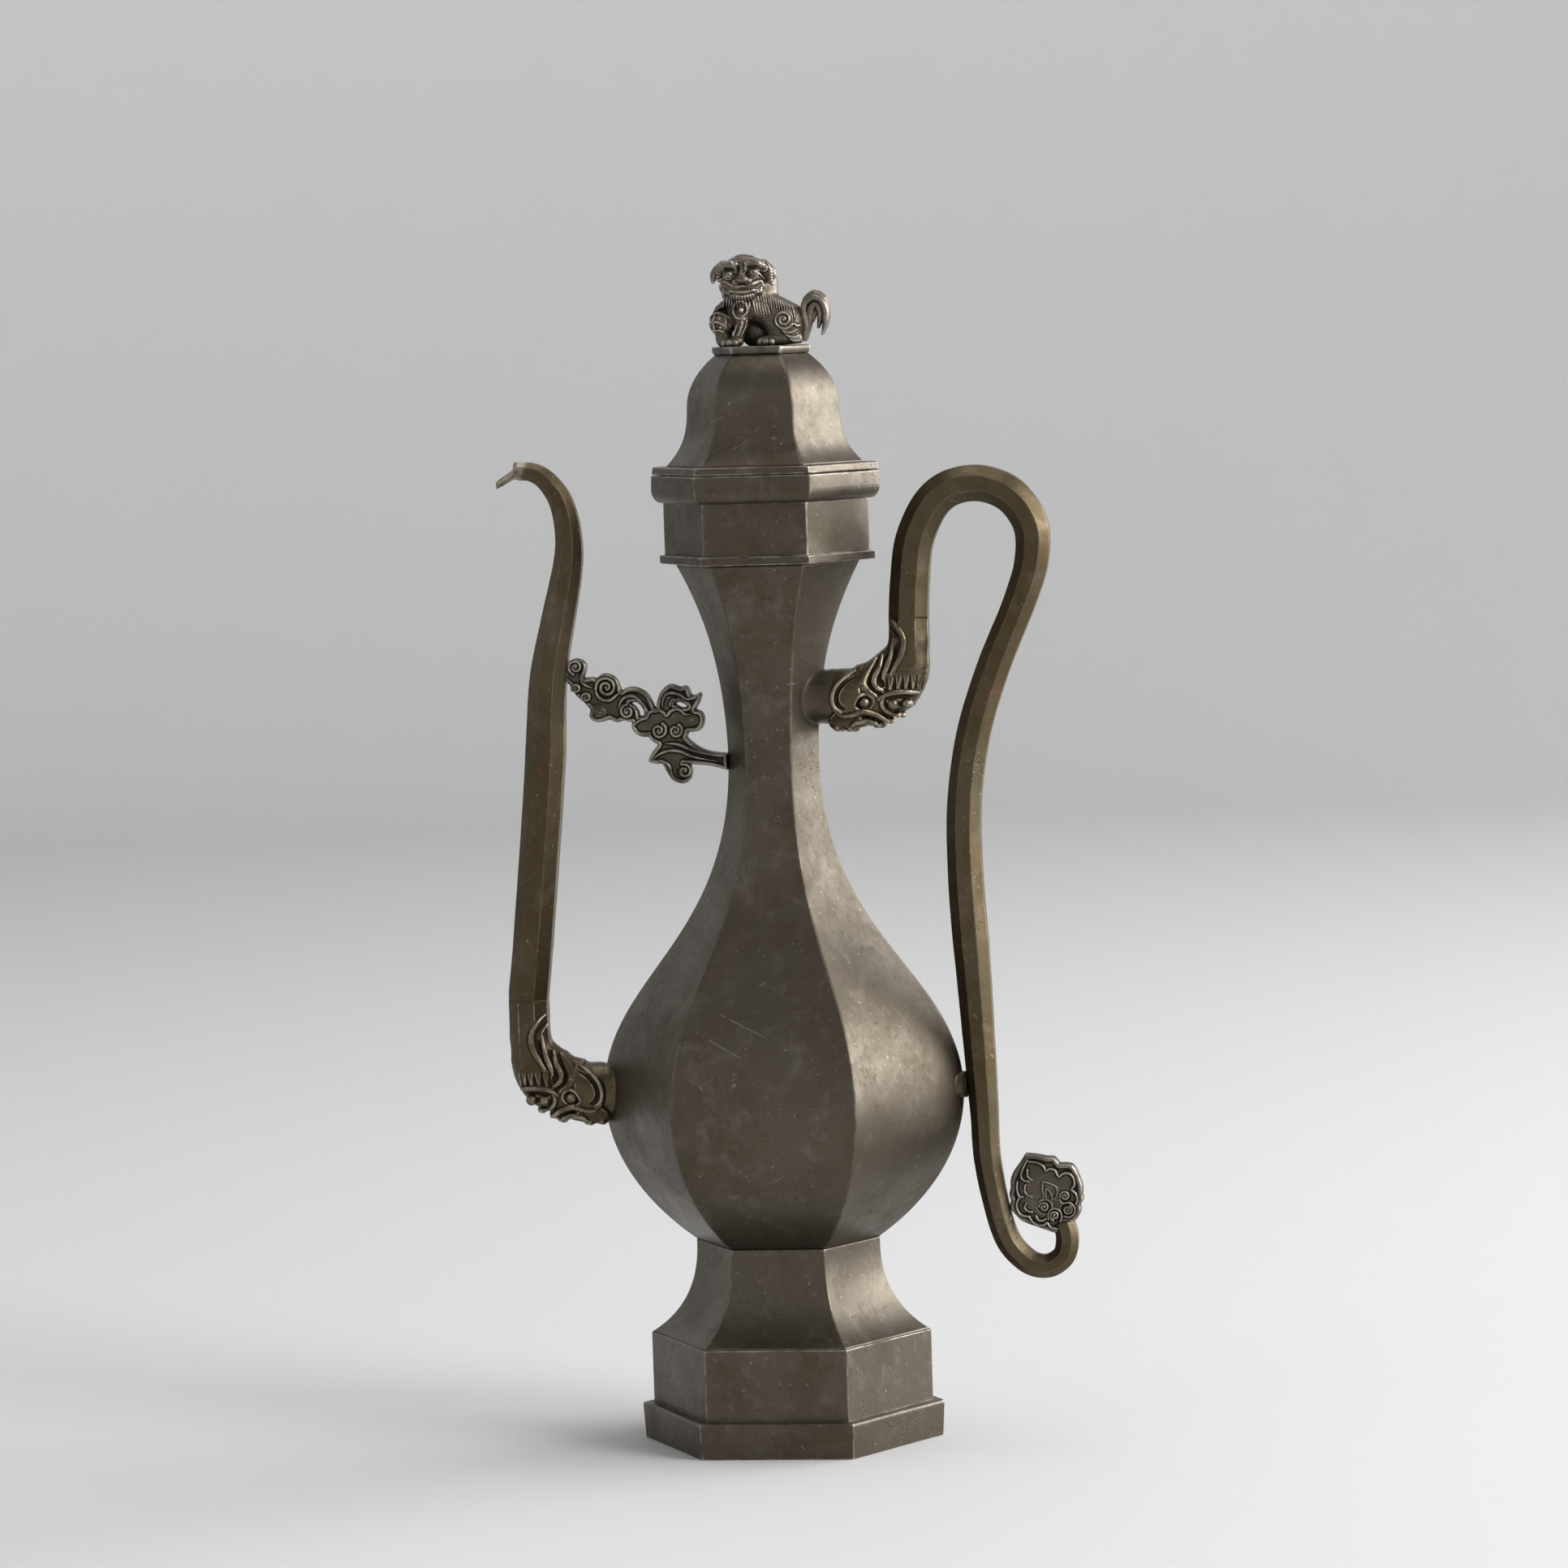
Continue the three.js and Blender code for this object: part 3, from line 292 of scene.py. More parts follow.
def settle(v, faces, amount, size, seed, dents=()):
    """Gentle unevenness of hand-worked metal: long waves, and dents of (x, y, z, radius, depth)."""
    n = normals_of(v, faces)
    d = amount * (noise(v, size, seed) + 0.4 * noise(v, size * 0.37, seed + 1))
    for x, y, z, r, depth in dents:
        d = d - depth * np.exp(-(((v - [x, y, z]) ** 2).sum(1)) / r ** 2)
    return v + n * d[:, None]


def sweep(line, across, rounding):
    """Rings of an octagonal bar along a line of [x, z] in the plane y = 0, so wide across."""
    t = np.gradient(line, axis=0)
    t /= np.linalg.norm(t, axis=1, keepdims=True)
    half = across[:, None, None] / 2
    uv = half * OCTAGON[0][None] + np.minimum(rounding, half * 0.8) * OCTAGON[1][None]
    x = line[:, :1] - t[:, 1:] * uv[..., 0]
    z = line[:, 1:] + t[:, :1] * uv[..., 0]
    return np.stack([x, uv[..., 1], z], -1)


# Castings, modelled as distances on a grid
UNIT = np.eye(3, dtype=int)


def blend_low(a, b, k):
    """The lower of two distances, flowing into each other over k mm."""
    low = np.minimum(a, b)
    if not k:
        return low
    h = np.maximum(k - np.abs(a - b), 0) / k
    return low - h * h * k / 4


def span(axes, lo, hi):
    """Slices of the axes that take in a box, with a step to spare on each side."""
    return tuple(slice(max(0, np.searchsorted(a, u) - 1), np.searchsorted(a, w) + 1)
                 for a, u, w in zip(axes, lo, hi))


def off_segment(grid, a, b):
    """How far along a segment each place on a grid lies, 0 to 1, and its squared distance."""
    ab = (b - a)[:len(grid)]
    off = [g - u for g, u in zip(grid, a)]
    t = np.clip(sum(o * s for o, s in zip(off, ab)) / (ab @ ab + 1e-9), 0, 1)
    return t, sum((o - t * s) ** 2 for o, s in zip(off, ab))


class Clay:
    """A solid kept as signed distances in mm on a grid, which parts are joined to or cut from."""

    def __init__(self, lo, hi, step):
        self.axes = [a + step * np.arange(int(round((b - a) / step)) + 1) for a, b in zip(lo, hi)]
        self.step = step
        self.d = np.full([len(a) for a in self.axes], EMPTY, np.float32)

    def grid(self):
        return np.ix_(*self.axes)

    def region(self, lo, hi):
        part = span(self.axes, lo, hi)
        return part, np.ix_(*(a[s] for a, s in zip(self.axes, part)))

    def work(self, part, distance, blend, cut):
        if not distance.size:
            return
        if cut:
            self.d[part] = -blend_low(-self.d[part], distance, blend)
        else:
            self.d[part] = blend_low(self.d[part], distance, blend)

    def limb(self, points, blend=0.5, cut=False):
        """Round stroke through points of [x, y, z, radius]."""
        p = spline(points, 3)
        pad = p[:, 3].max() + blend + 1
        part, grid = self.region(p[:, :3].min(0) - pad, p[:, :3].max(0) + pad)
        best = np.inf
        for a, b in zip(p, p[1:]):
            t, gap = off_segment(grid, a, b)
            best = np.minimum(best, np.sqrt(gap) - (a[3] + (b[3] - a[3]) * t))
        self.work(part, best, blend, cut)

    def egg(self, centre, radii, blend=0.5, cut=False):
        c, r = np.array(centre, float), np.array(radii, float) * np.ones(3)
        part, grid = self.region(c - r - blend - 1, c + r + blend + 1)
        near = np.sqrt(sum(((g - a) / b) ** 2 for g, a, b in zip(grid, c, r)))
        slope = sum(((g - a) / b ** 2) ** 2 for g, a, b in zip(grid, c, r))
        self.work(part, near * (near - 1) / np.sqrt(slope + 1e-9), blend, cut)

    def join(self, distance, blend):
        self.d[:] = blend_low(self.d, distance, blend)

    def trim(self, distance):
        """Keep only what lies inside another distance."""
        self.d = np.maximum(self.d, distance).astype(np.float32)

    def outline(self, line):
        """Signed distance from a closed line of [x, z], negative inside."""
        x, _, z = self.grid()
        best, inside = np.inf, False
        for a, b in zip(line, np.roll(line, -1, axis=0)):
            best = np.minimum(best, off_segment((x, z), a, b)[1])
            if a[1] != b[1]:
                slant = (b[0] - a[0]) * (z - a[1]) / (b[1] - a[1]) + a[0]
                inside = inside ^ (((a[1] > z) != (b[1] > z)) & (x < slant))
        return np.where(inside, -1, 1) * np.sqrt(best)

    def emboss(self, relief, depth_weight):
        """Raise the surface by heights drawn over x and z, weighted along y."""
        self.d -= (relief.h * depth_weight(self.grid()[1])).astype(np.float32)

    def mirrored(self):
        """The whole of a shape whose grid ends at y = 0."""
        whole = copy.copy(self)
        x, y, z = self.axes
        whole.axes = [x, np.concatenate([y, -y[-2::-1]]), z]
        whole.d = np.concatenate([self.d, self.d[:, -2::-1]], 1)
        return whole

    def skin(self):
        """Points and quads over the zero level."""
        d = np.pad(self.d[1:-1, 1:-1, 1:-1], 1, constant_values=EMPTY)
        inside = d < 0
        count = sum(inside[i:i + d.shape[0] - 1, j:j + d.shape[1] - 1, k:k + d.shape[2] - 1]
                    .astype(np.int8) for i, j, k in np.ndindex(2, 2, 2))
        live = (count > 0) & (count < 8)
        index = np.full(live.shape, -1)
        index[live] = np.arange(live.sum())
        cell = np.argwhere(live)
        total, hits = np.zeros((len(cell), 3)), np.zeros(len(cell))
        for axis in range(3):
            for side in range(4):
                start = UNIT[(axis + 1) % 3] * (side & 1) + UNIT[(axis + 2) % 3] * (side >> 1)
                end = start + UNIT[axis]
                da, db = d[tuple((cell + start).T)], d[tuple((cell + end).T)]
                cross = (da < 0) != (db < 0)
                t = da[cross] / (da[cross] - db[cross])
                total[cross] += start + t[:, None] * (end - start)
                hits[cross] += 1
        v = (cell + total / hits[:, None]) * self.step + [a[0] for a in self.axes]
        faces = []
        for axis in range(3):
            lower = np.take(inside, range(d.shape[axis] - 1), axis)
            upper = np.take(inside, range(1, d.shape[axis]), axis)
            at = np.argwhere(lower != upper)
            back1, back2 = UNIT[(axis + 1) % 3], UNIT[(axis + 2) % 3]
            quad = np.stack([index[tuple((at - s).T)]
                             for s in (back1 + back2, back2, 0 * back2, back1)], 1)
            flip = ~lower[tuple(at.T)]
            quad[flip] = quad[flip][:, ::-1]
            faces.append(quad)
        faces = np.vstack(faces)
        return (v + Neighbours(faces, len(v)).mean(v)) / 2, faces


class Relief:
    """Heights in mm over the x and z of a clay's grid, drawn with strokes and bosses."""

    def __init__(self, clay):
        self.axes = clay.axes[0], clay.axes[2]
        self.h = np.zeros((len(self.axes[0]), 1, len(self.axes[1])))

    def region(self, lo, hi):
        i, k = span(self.axes, lo, hi)
        x, _, z = np.ix_(self.axes[0][i], [0], self.axes[1][k])
        return (i, slice(None), k), (x, z)

    def rim(self, shape, inset, width, height):
        """Raised line that follows the edge of a shape."""
        q = np.abs(-shape - inset) / width
        self.h = np.maximum(self.h, height * np.sqrt(np.maximum(1 - q ** 2, 0)))

    def stroke(self, points, height, width, taper=0):
        """Round-backed line of a half width. Taper makes it run out: 1 at its end, 2 at both."""
        s = np.linspace(0, 1, len(points))
        run = (1 + 0 * s, np.sqrt(1.02 - s), np.sqrt(np.maximum(1 - (2 * s - 1) ** 2, 0.02)))
        p = spline(np.column_stack([points, width * run[taper]]), 4)
        pad = p[:, 2].max() + 0.2
        part, grid = self.region(p[:, :2].min(0) - pad, p[:, :2].max(0) + pad)
        best = np.inf
        for a, b in zip(p, p[1:]):
            t, gap = off_segment(grid, a, b)
            best = np.minimum(best, np.sqrt(gap) / np.maximum(a[2] + (b[2] - a[2]) * t, 0.05))
        bump = height * np.sqrt(np.maximum(1 - best ** 2, 0)) * smooth_step((1.15 - best) * 4)
        self.h[part] = np.maximum(self.h[part], bump)

    def boss(self, centre, radius, height):
        """Round dome, or a dish where the height is negative."""
        c = np.array(centre)
        part, (x, z) = self.region(c - radius - 0.2, c + radius + 0.2)
        q = ((x - c[0]) / radius) ** 2 + ((z - c[1]) / radius) ** 2
        bump = height * np.sqrt(np.maximum(1 - q, 0))
        self.h[part] = np.maximum(self.h[part], bump) if height > 0 else self.h[part] + bump


# Materials
class Nodes:
    """Short names for the shader nodes of one material."""

    def __init__(self, name):
        self.material = bpy.data.materials.new(name)
        self.material.use_nodes = True
        self.tree = self.material.node_tree
        self.shader = self.tree.nodes["Principled BSDF"].inputs
        self.place = self.tree.nodes.new("ShaderNodeTexCoord").outputs["Object"]

    def new(self, kind, **inputs):
        node = self.tree.nodes.new(kind)
        for key, value in inputs.items():
            self.set(node.inputs[key.replace("_", " ")], value)
        return node

    def set(self, socket, value):
        if isinstance(value, bpy.types.NodeSocket):
            self.tree.links.new(value, socket)
        elif isinstance(value, tuple) and len(socket.default_value) == 4:
            socket.default_value = (*value, 1)
        else:
            socket.default_value = value

    def attribute(self, name):
        node = self.tree.nodes.new("ShaderNodeAttribute")
        node.attribute_name = name
        return node.outputs["Fac"]

    def axes(self):
        return self.new("ShaderNodeSeparateXYZ", Vector=self.place).outputs

    def turned(self, turn, stretch):
        """The place in axes that are turned, and stretched along the third of them."""
        node = self.new("ShaderNodeMapping", Vector=self.place, Rotation=turn,
                        Scale=(1, 1, stretch))
        node.vector_type = "TEXTURE"
        return node.outputs["Vector"]

    def noise(self, scale, detail, rough, bent=0.0, place=None):
        return self.new("ShaderNodeTexNoise", Vector=place or self.place, Scale=scale,
                        Detail=detail, Roughness=rough, Distortion=bent).outputs["Fac"]

    def cells(self, scale):
        return self.new("ShaderNodeTexVoronoi", Vector=self.place, Scale=scale).outputs

    def ramp(self, value, low, high, to_low=0.0, to_high=1.0):
        node = self.new("ShaderNodeMapRange", Value=value, From_Min=low, From_Max=high,
                        To_Min=to_low, To_Max=to_high)
        node.interpolation_type = "SMOOTHSTEP"
        return node.outputs["Result"]

    def math(self, kind, a, b=0.0):
        node = self.tree.nodes.new("ShaderNodeMath")
        node.operation = kind
        self.set(node.inputs[0], a)
        self.set(node.inputs[1], b)
        return node.outputs["Value"]

    def plus(self, a, b):
        return self.math("ADD", a, b)

    def minus(self, a, b):
        return self.math("SUBTRACT", a, b)

    def times(self, a, b):
        return self.math("MULTIPLY", a, b)

    def mix(self, share, a, b):
        node = self.tree.nodes.new("ShaderNodeMix")
        node.data_type = "RGBA"
        self.set(node.inputs["Factor"], share)
        self.set(node.inputs[6], a)
        self.set(node.inputs[7], b)
        return node.outputs[2]

    def scratch(self, start, end):
        """A fine score on the front between two points of [x, z] in mm from the axis."""
        ends = [Vector(((x + AXIS) * MM, z * MM)) for x, z in (start, end)]
        along = (ends[1] - ends[0]).normalized()
        middle, half = (ends[0] + ends[1]) / 2, (ends[1] - ends[0]).length / 2
        x, y, z = self.axes()
        x, z = self.minus(x, middle.x), self.minus(z, middle.y)
        run = self.plus(self.times(x, along.x), self.times(z, along.y))
        off = self.minus(self.times(z, along.x), self.times(x, along.y))
        line = self.times(self.ramp(self.math("ABSOLUTE", off), 8e-5, 2.8e-4, 1.1, 0),
                          self.ramp(self.math("ABSOLUTE", run), half * 0.8, half, 1, 0))
        broken = self.ramp(self.noise(420, 2, 0.6), 0.36, 0.5)
        return self.times(self.times(line, broken), self.math("LESS_THAN", y))

    def pits(self):
        """Single round pits, and patches of crust."""
        cell = self.cells(170)
        kept = self.new("ShaderNodeSeparateXYZ", Vector=cell["Color"]).outputs["X"]
        single = self.times(self.ramp(cell["Distance"], 0.05, 0.11, 1, 0),
                            self.ramp(kept, 0.8, 0.82))
        crust = self.times(self.ramp(self.cells(560)["Distance"], 0.16, 0.34, 0.7, 0),
                           self.ramp(self.noise(33, 3, 0.6), 0.6, 0.67))
        return self.math("MAXIMUM", single, crust)

    def scores(self, scratches):
        """Hair lines in four directions, in patches, and the scratches that have a place."""
        lines = 0.0
        for turn, reach in (((0.5, 0.9, 0.4), 32), ((1.2, 0.3, 1.9), 20), ((0.1, 1.5, 0.7), 25),
                            ((0.2, -0.6, 0), 28)):
            scored = self.noise(760, 1, 0.5, 0, self.turned(turn, reach))
            patchy = self.ramp(self.noise(30, 2, 0.5, 0, self.turned(turn, 1)), 0.5, 0.62)
            lines = self.plus(self.times(self.ramp(scored, 0.72, 0.77), patchy), lines)
        for start, end in scratches:
            lines = self.math("MAXIMUM", lines, self.scratch(start, end))
        return lines


def pewter(name, base, patina, bright, grime, roughness, mottle=0.8, grain=0.5, dust=None,
           lacquer=0.0, brushed=0.0, scratches=()):
    """Aged pewter. Wear and a painted highlight brighten arrises and high places, grime or dust
    lies in the hollows.
    """
    n = Nodes(name)
    n.set(n.shader["Metallic"], 0.88)
    n.set(n.shader["Specular IOR Level"], 0.4)
    cloud = n.noise(52, 6, 0.62, 0.5)
    spots = n.noise(430, 3, 0.7)
    drift = n.plus(n.times(n.noise(17, 4, 0.55, 0.9), 0.55), n.times(cloud, 0.45))
    pits = n.pits()
    lines = n.scores(scratches)
    # Edge mask times noise: real wear, and a painted highlight along arrises and ridges.
    rubbed_and_lit = n.times(n.attribute("wear_and_highlight"), n.ramp(n.noise(170, 4, 0.65), 0.3, 0.66, 0.3, 1.0))
    dirt = n.ramp(n.attribute("hollow"), 0.06, 0.55)

    colour = n.mix(n.ramp(drift, 0.4, 0.66, 0, mottle), base, patina)
    colour = n.mix(n.ramp(n.noise(95, 5, 0.65, 0.3), 0.5, 0.74, 0, 0.3), colour,
                   tuple(0.55 * a + 0.45 * b for a, b in zip(base, bright)))
    colour = n.mix(n.ramp(spots, 0.6, 0.74, 0, 0.5), colour, tuple(c * 0.5 for c in patina))
    colour = n.mix(n.times(pits, 0.6), colour, grime)
    colour = n.mix(n.ramp(n.noise(610, 1, 0.5), 0.76, 0.8, 0, 0.6), colour, bright)
    strokes = 0.5
    if brushed:
        strokes = n.noise(1300, 3, 0.6, 0, n.turned((0, 0, 0), 22))
        colour = n.mix(n.ramp(strokes, 0.42, 0.66, 0, brushed), colour, grime)
    colour = n.mix(n.times(lines, 0.35), colour, bright)
    if lacquer:
        flakes = n.times(n.ramp(n.noise(260, 5, 0.75, 1.0), 0.58, 0.66, 0, lacquer),
                         n.ramp(n.noise(31, 2, 0.6), 0.57, 0.64))
        colour = n.mix(flakes, colour, OLD_LACQUER)
    # Painted highlight together with real wear: arrises and high places mixed toward the bright
    # colour.
    colour = n.mix(n.ramp(rubbed_and_lit, 0.05, 0.8), colour, bright)
    soil = n.mix(n.ramp(n.noise(120, 4, 0.6), 0.42, 0.6), grime, dust) if dust else grime
    n.set(n.shader["Base Color"], n.mix(dirt, colour, soil))

    rough = n.plus(n.ramp(drift, 0.35, 0.65, roughness - 0.06, roughness + 0.07),
                   n.ramp(spots, 0.4, 0.75, 0, 0.1))
    rough = n.minus(n.plus(rough, n.times(dirt, 0.25)), n.times(rubbed_and_lit, 0.08))
    n.set(n.shader["Roughness"], rough)

    height = n.plus(n.times(n.noise(2400, 2, 0.6), grain), n.times(spots, 0.7))
    height = n.plus(n.minus(height, n.times(pits, 2.5)), n.times(cloud, 2.0))
    height = n.plus(n.minus(height, n.times(lines, 0.5)), n.times(strokes, brushed * 3))
    bump = n.new("ShaderNodeBump", Strength=0.4, Distance=0.00013, Height=height)
    n.set(n.shader["Normal"], bump.outputs["Normal"])
    return n.material


OLD_LACQUER = (0.21, 0.07, 0.06)
SHEET_METAL = pewter("sheet_pewter", (0.104, 0.088, 0.067), (0.073, 0.057, 0.038),
                     (0.38, 0.35, 0.305), (0.042, 0.033, 0.022), 0.40, brushed=0.1,
                     scratches=[((-17.7, 172.2), (2.2, 162.5)), ((-21.3, 162.9), (-7.6, 155.3))])
# Its warmer, more olive base is partly the metal's own tone and partly a painted warm reflection.
WARM_METAL = pewter("warm_pewter", (0.1, 0.078, 0.046), (0.073, 0.052, 0.025),
                    (0.34, 0.30, 0.235), (0.038, 0.027, 0.016), 0.36, 1.0, lacquer=0.7)
CAST_METAL = pewter("cast_pewter", (0.098, 0.083, 0.066), (0.06, 0.047, 0.033),
                    (0.38, 0.345, 0.295), (0.03, 0.023, 0.017), 0.38, 0.9, 0.7)
LION_METAL = pewter("lion_pewter", (0.15, 0.129, 0.105), (0.092, 0.075, 0.055),
                    (0.45, 0.41, 0.35), (0.045, 0.035, 0.026), 0.40, 0.8, 0.8,
                    dust=(0.28, 0.22, 0.15))


# Sheet work
def body_line():
    low = bezier([[WAIST_R, BODY_Z], [WAIST_R + 21.4, BODY_Z + 15], [BELLY_R, BELLY_Z - 22],
                  [BELLY_R, BELLY_Z]], 40)
    mid = bezier([[BELLY_R, BELLY_Z], [BELLY_R, BELLY_Z + 46], [THROAT_R, THROAT_Z - 72],
                  [THROAT_R, THROAT_Z]], 70)
    high = bezier([[THROAT_R, THROAT_Z], [THROAT_R, THROAT_Z + 36],
                   [NECK_TOP_R - 10, NECK_TOP_Z - 18], [NECK_TOP_R, NECK_TOP_Z]], 36)
    return np.vstack([low, mid[1:], high[1:]])


BODY_LINE = body_line()


def body_corner(z):
    """How far the body's corners stand from the axis at heights z."""
    return np.interp(z, BODY_LINE[:, 1], BODY_LINE[:, 0])


def foot_line():
    low, high = FOOT_TOP_Z - 0.15, BODY_Z - 0.05
    return bezier([[FOOT_R, low], [FOOT_R - 19.3, low + 11.5], [WAIST_R, high - 7.4],
                   [WAIST_R, high]], 36)


def dome_line():
    skirt = bezier([[DOME_R, DOME_Z - 0.35], [DOME_R - 5.5, DOME_Z + 5.5],
                    [DOME_WAIST_R, DOME_WAIST_Z - 12], [DOME_WAIST_R, DOME_WAIST_Z]], 26)
    crown = bezier([[DOME_WAIST_R, DOME_WAIST_Z], [DOME_WAIST_R, DOME_WAIST_Z + 9],
                    [DOME_TOP_R + 6, DOME_TOP_Z - 4.5], [DOME_TOP_R, DOME_TOP_Z]], 26)
    return np.vstack([skirt, crown[1:]])


def hex_shell(name, profile, rounding, body, nodes, amount, size, seed, dents=()):
    """Six-sided ring of sheet metal with a closed profile."""
    v = hex_rings(profile, rounding)
    f = ring_faces(len(profile), len(HEX[0]), True)
    v = settle(v, f, amount, size, seed, dents)
    add_piece(name, v, f, SHEET_METAL, body, nodes, 0.9)


def sheets():
    """Each shell is six panels that are soldered along the arrises."""
    dents = [(-19.8, -61, 146.6, 2.8, 0.4), (-16.5, -61, 143.8, 2.4, -0.3),
             (-14.0, -61, 147.6, 2.4, 0.35), (-23.0, -60, 149.2, 3.0, 0.35),
             (-29.3, -61, 137.6, 2.4, -0.4), (-9.9, -56, 101.6, 3.5, 0.3),
             (14, -60, 160, 8, 0.3), (8, -55, 98, 9, 0.25)]
    for name, line, rounding, body, panel, amount, size, seed, own_dents in (
            ("body_shell", BODY_LINE, 1.4, "vessel", "body_panel", 0.12, 38, 3, dents),
            ("foot_flare", foot_line(), 1.1, "vessel", "foot_flare_panel", 0.08, 26, 5, ()),
            ("lid_dome", dome_line(), 1.7, "lid", "dome_panel", 0.1, 24, 7, ())):
        hex_shell(name, sheet_profile(line), rounding, body,
                  [f"{panel}_{i}" for i in range(1, 7)], amount, size, seed, own_dents)


def mouldings():
    """Straight bands and mouldings, from closed profiles of [corner radius, height]."""
    quarter = [[40.7 + 4.1 * math.cos(a), 370.6 + 5.2 * math.sin(a)]
               for a in np.linspace(-math.pi / 2, 0, 9)]
    for name, profile, radii, body, node, rounding, dents in (
            ("foot_rim_moulding",
             [[58.6, 0], [59.5, 14.1], [51.3, 14.1], [51.3, 11.5], [54.67, 11.5], [54.67, 0]],
             [0.5, 1.4, 0.2, 0.2, 0.2, 0.3], "vessel", "foot_rim", 0.8, ()),
            ("foot_band_sheet", [[55, 14.0], [55, 41.7], [52.92, 41.7], [52.92, 14.0]], 0.15,
             "vessel", "foot_band", 0.8, ()),
            ("mouth_flange_plate", [[42.1, 341.9], [42.2, 345.3], [33.9, 345.3], [33.9, 341.9]],
             [0.5, 0.5, 0.2, 0.2], "vessel", "mouth_flange", 0.8,
             [(22.4, -36, 344.6, 2.0, 0.4), (-4.5, -36.4, 344.8, 2.4, 0.4)]),
            ("mouth_band_sheet", [[40.1, 345.2], [40.1, 365.5], [38.02, 365.5], [38.02, 345.2]],
             0.15, "vessel", "mouth_band", 0.8, ()),
            ("mouth_rim_moulding", [*quarter, [44.6, 376.1], [38.02, 376.1], [38.02, 365.4]],
             [0.1] * 9 + [0.6, 0.2, 0.1], "vessel", "mouth_rim", 1.2, ()),
            ("lid_rim_plate", [[44.3, 376.4], [43.9, 379.4], [35.57, 379.4], [35.57, 376.4]],
             [0.6, 0.7, 0.1, 0.1], "lid", "lid_plate", 1.0,
             [(23.4, -37, 378.2, 2.2, 0.55), (20.6, -38, 377.2, 1.5, 0.3)]),
            ("lid_plug_band", [[37.42, 366.9], [37.42, 376.5], [35.57, 376.5], [35.57, 366.9]],
             0.3, "lid", "lid_plug", 0.8, ())):
        hex_shell(name, dense(rounded(profile, radii)), rounding, body, [node], 0.07, 17, 11,
                  dents)


def hex_plate(name, profile, rounding, metal, body, node):
    """Six-sided plate from an open profile of [corner radius, height], closed by flat faces."""
    v = hex_rings(profile, rounding)
    n = len(HEX[0])
    add_piece(name, v, ring_faces(len(profile), n), metal, body, [node], 1.2,
              caps=end_caps(len(v), n, -1))


def plates():
    hex_plate("finial_plate_cast", [[18.4, 421.9], [18.9, 422.3], [19.35, 424.2], [19.2, 424.8],
                                    [18.7, 425.0], [12, 425.0]],
              1.2, CAST_METAL, "lid", "finial_plate")
    floor_lo, floor_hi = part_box("vessel_floor")
    z0, z1 = floor_lo[2] * 1000, floor_hi[2] * 1000
    wide = (floor_hi[0] - floor_lo[0]) / 2 * 1000
    hex_plate("vessel_floor_sheet", [[wide - 1.5, z0], [wide, z0 + 0.3], [wide, z1 - 0.3],
                                     [wide - 1.5, z1]],
              0.8, SHEET_METAL, "vessel", "vessel_floor")


# Spout, handle and collars
def along(line):
    """The same curve with points at even steps, and how far along each lies, from 0 to 1."""
    s = np.concatenate([[0], np.cumsum(np.linalg.norm(np.diff(line, axis=0), axis=1))])
    t = np.linspace(0, 1, int(s[-1] / BAR_STEP) + 1)
    return np.column_stack([np.interp(t * s[-1], s, c) for c in line.T]), t


def spout_line():
    start = [SPOUT_X - 0.2, SPOUT_ROOT_Z + SPOUT_SHANK - 0.6]
    rise = [[0.012, 0.256], [0.026, 0.389], [0.039, 0.521], [0.049, 0.661], [0.067, 0.752],
            [0.086, 0.839], [0.09, 0.893], [0.08, 0.947], [0.057, 0.983], [0.032, 0.998],
            [0.005, 1]]
    rise = np.array(rise) * SPOUT_HEIGHT + [SPOUT_X, SPOUT_ROOT_Z]
    return along(spline([start, *rise], 16))


def spout():
    """Bored octagonal tube. The underside of its bevelled mouth is drawn out into a lip."""
    line, t = spout_line()
    wide = np.interp(t, [0, 0.45, 0.56, 0.66, 0.75, 0.9, 1],
                     [BAR, BAR, BAR - 1, BAR - 2.1, BAR - 3.4, BAR - 6.4, 6.4])
    outer = sweep(line, wide, 0.7)
    inner = sweep(line, wide - np.interp(t, [0, 0.7, 1], [4.4, 2.6, 1.6]), 0.9)
    mouth = outer[-1]
    lower = smooth_step((mouth[:, 2].mean() - mouth[:, 2]) / 2.2 + 0.35)
    lip = [mouth]
    for reach, thin in ((2.4, 0.97), (4.8, 0.9), (6.6, 0.72)):
        pulled = mouth.copy()
        pulled[:, 1] *= 1 - (1 - thin) * lower
        pulled[:, 0] -= reach * lower
        pulled[:, 2] -= reach * 0.52 * lower
        lip.append(pulled)
    back = [ring * [1, 0.8, 1] + np.outer(lower, [0, 0, 0.9]) for ring in lip[::-1]]
    rows = np.concatenate([outer, lip[1:], back[:-1], inner[::-1]])
    rows[:, :, 0] = np.maximum(rows[:, :, 0], SPOUT_TIP_X)
    v = rows.reshape(-1, 3)
    f = ring_faces(len(rows), rows.shape[1], True)[:, ::-1]
    end = smooth_step((t - 0.965) / 0.03)
    frayed = np.repeat(np.concatenate([end, np.ones(6), end[::-1]]), rows.shape[1])
    ragged = noise(v, 1.6, 21) + 0.5 * noise(v, 0.7, 22)
    v = settle(v + (ragged * frayed)[:, None] * [0.5, 0.25, 0.45], f, 0.09, 13, 23)
    seam = v[:, 2] < SPOUT_ROOT_Z + SPOUT_SHANK + 1.5
    add_piece("spout_bar", v, f, WARM_METAL, "vessel", ["spout_tube"], 0.55,
              rubbed_and_lit=frayed * (0.8 + 0.5 * noise(v, 1.1, 24)) - seam)


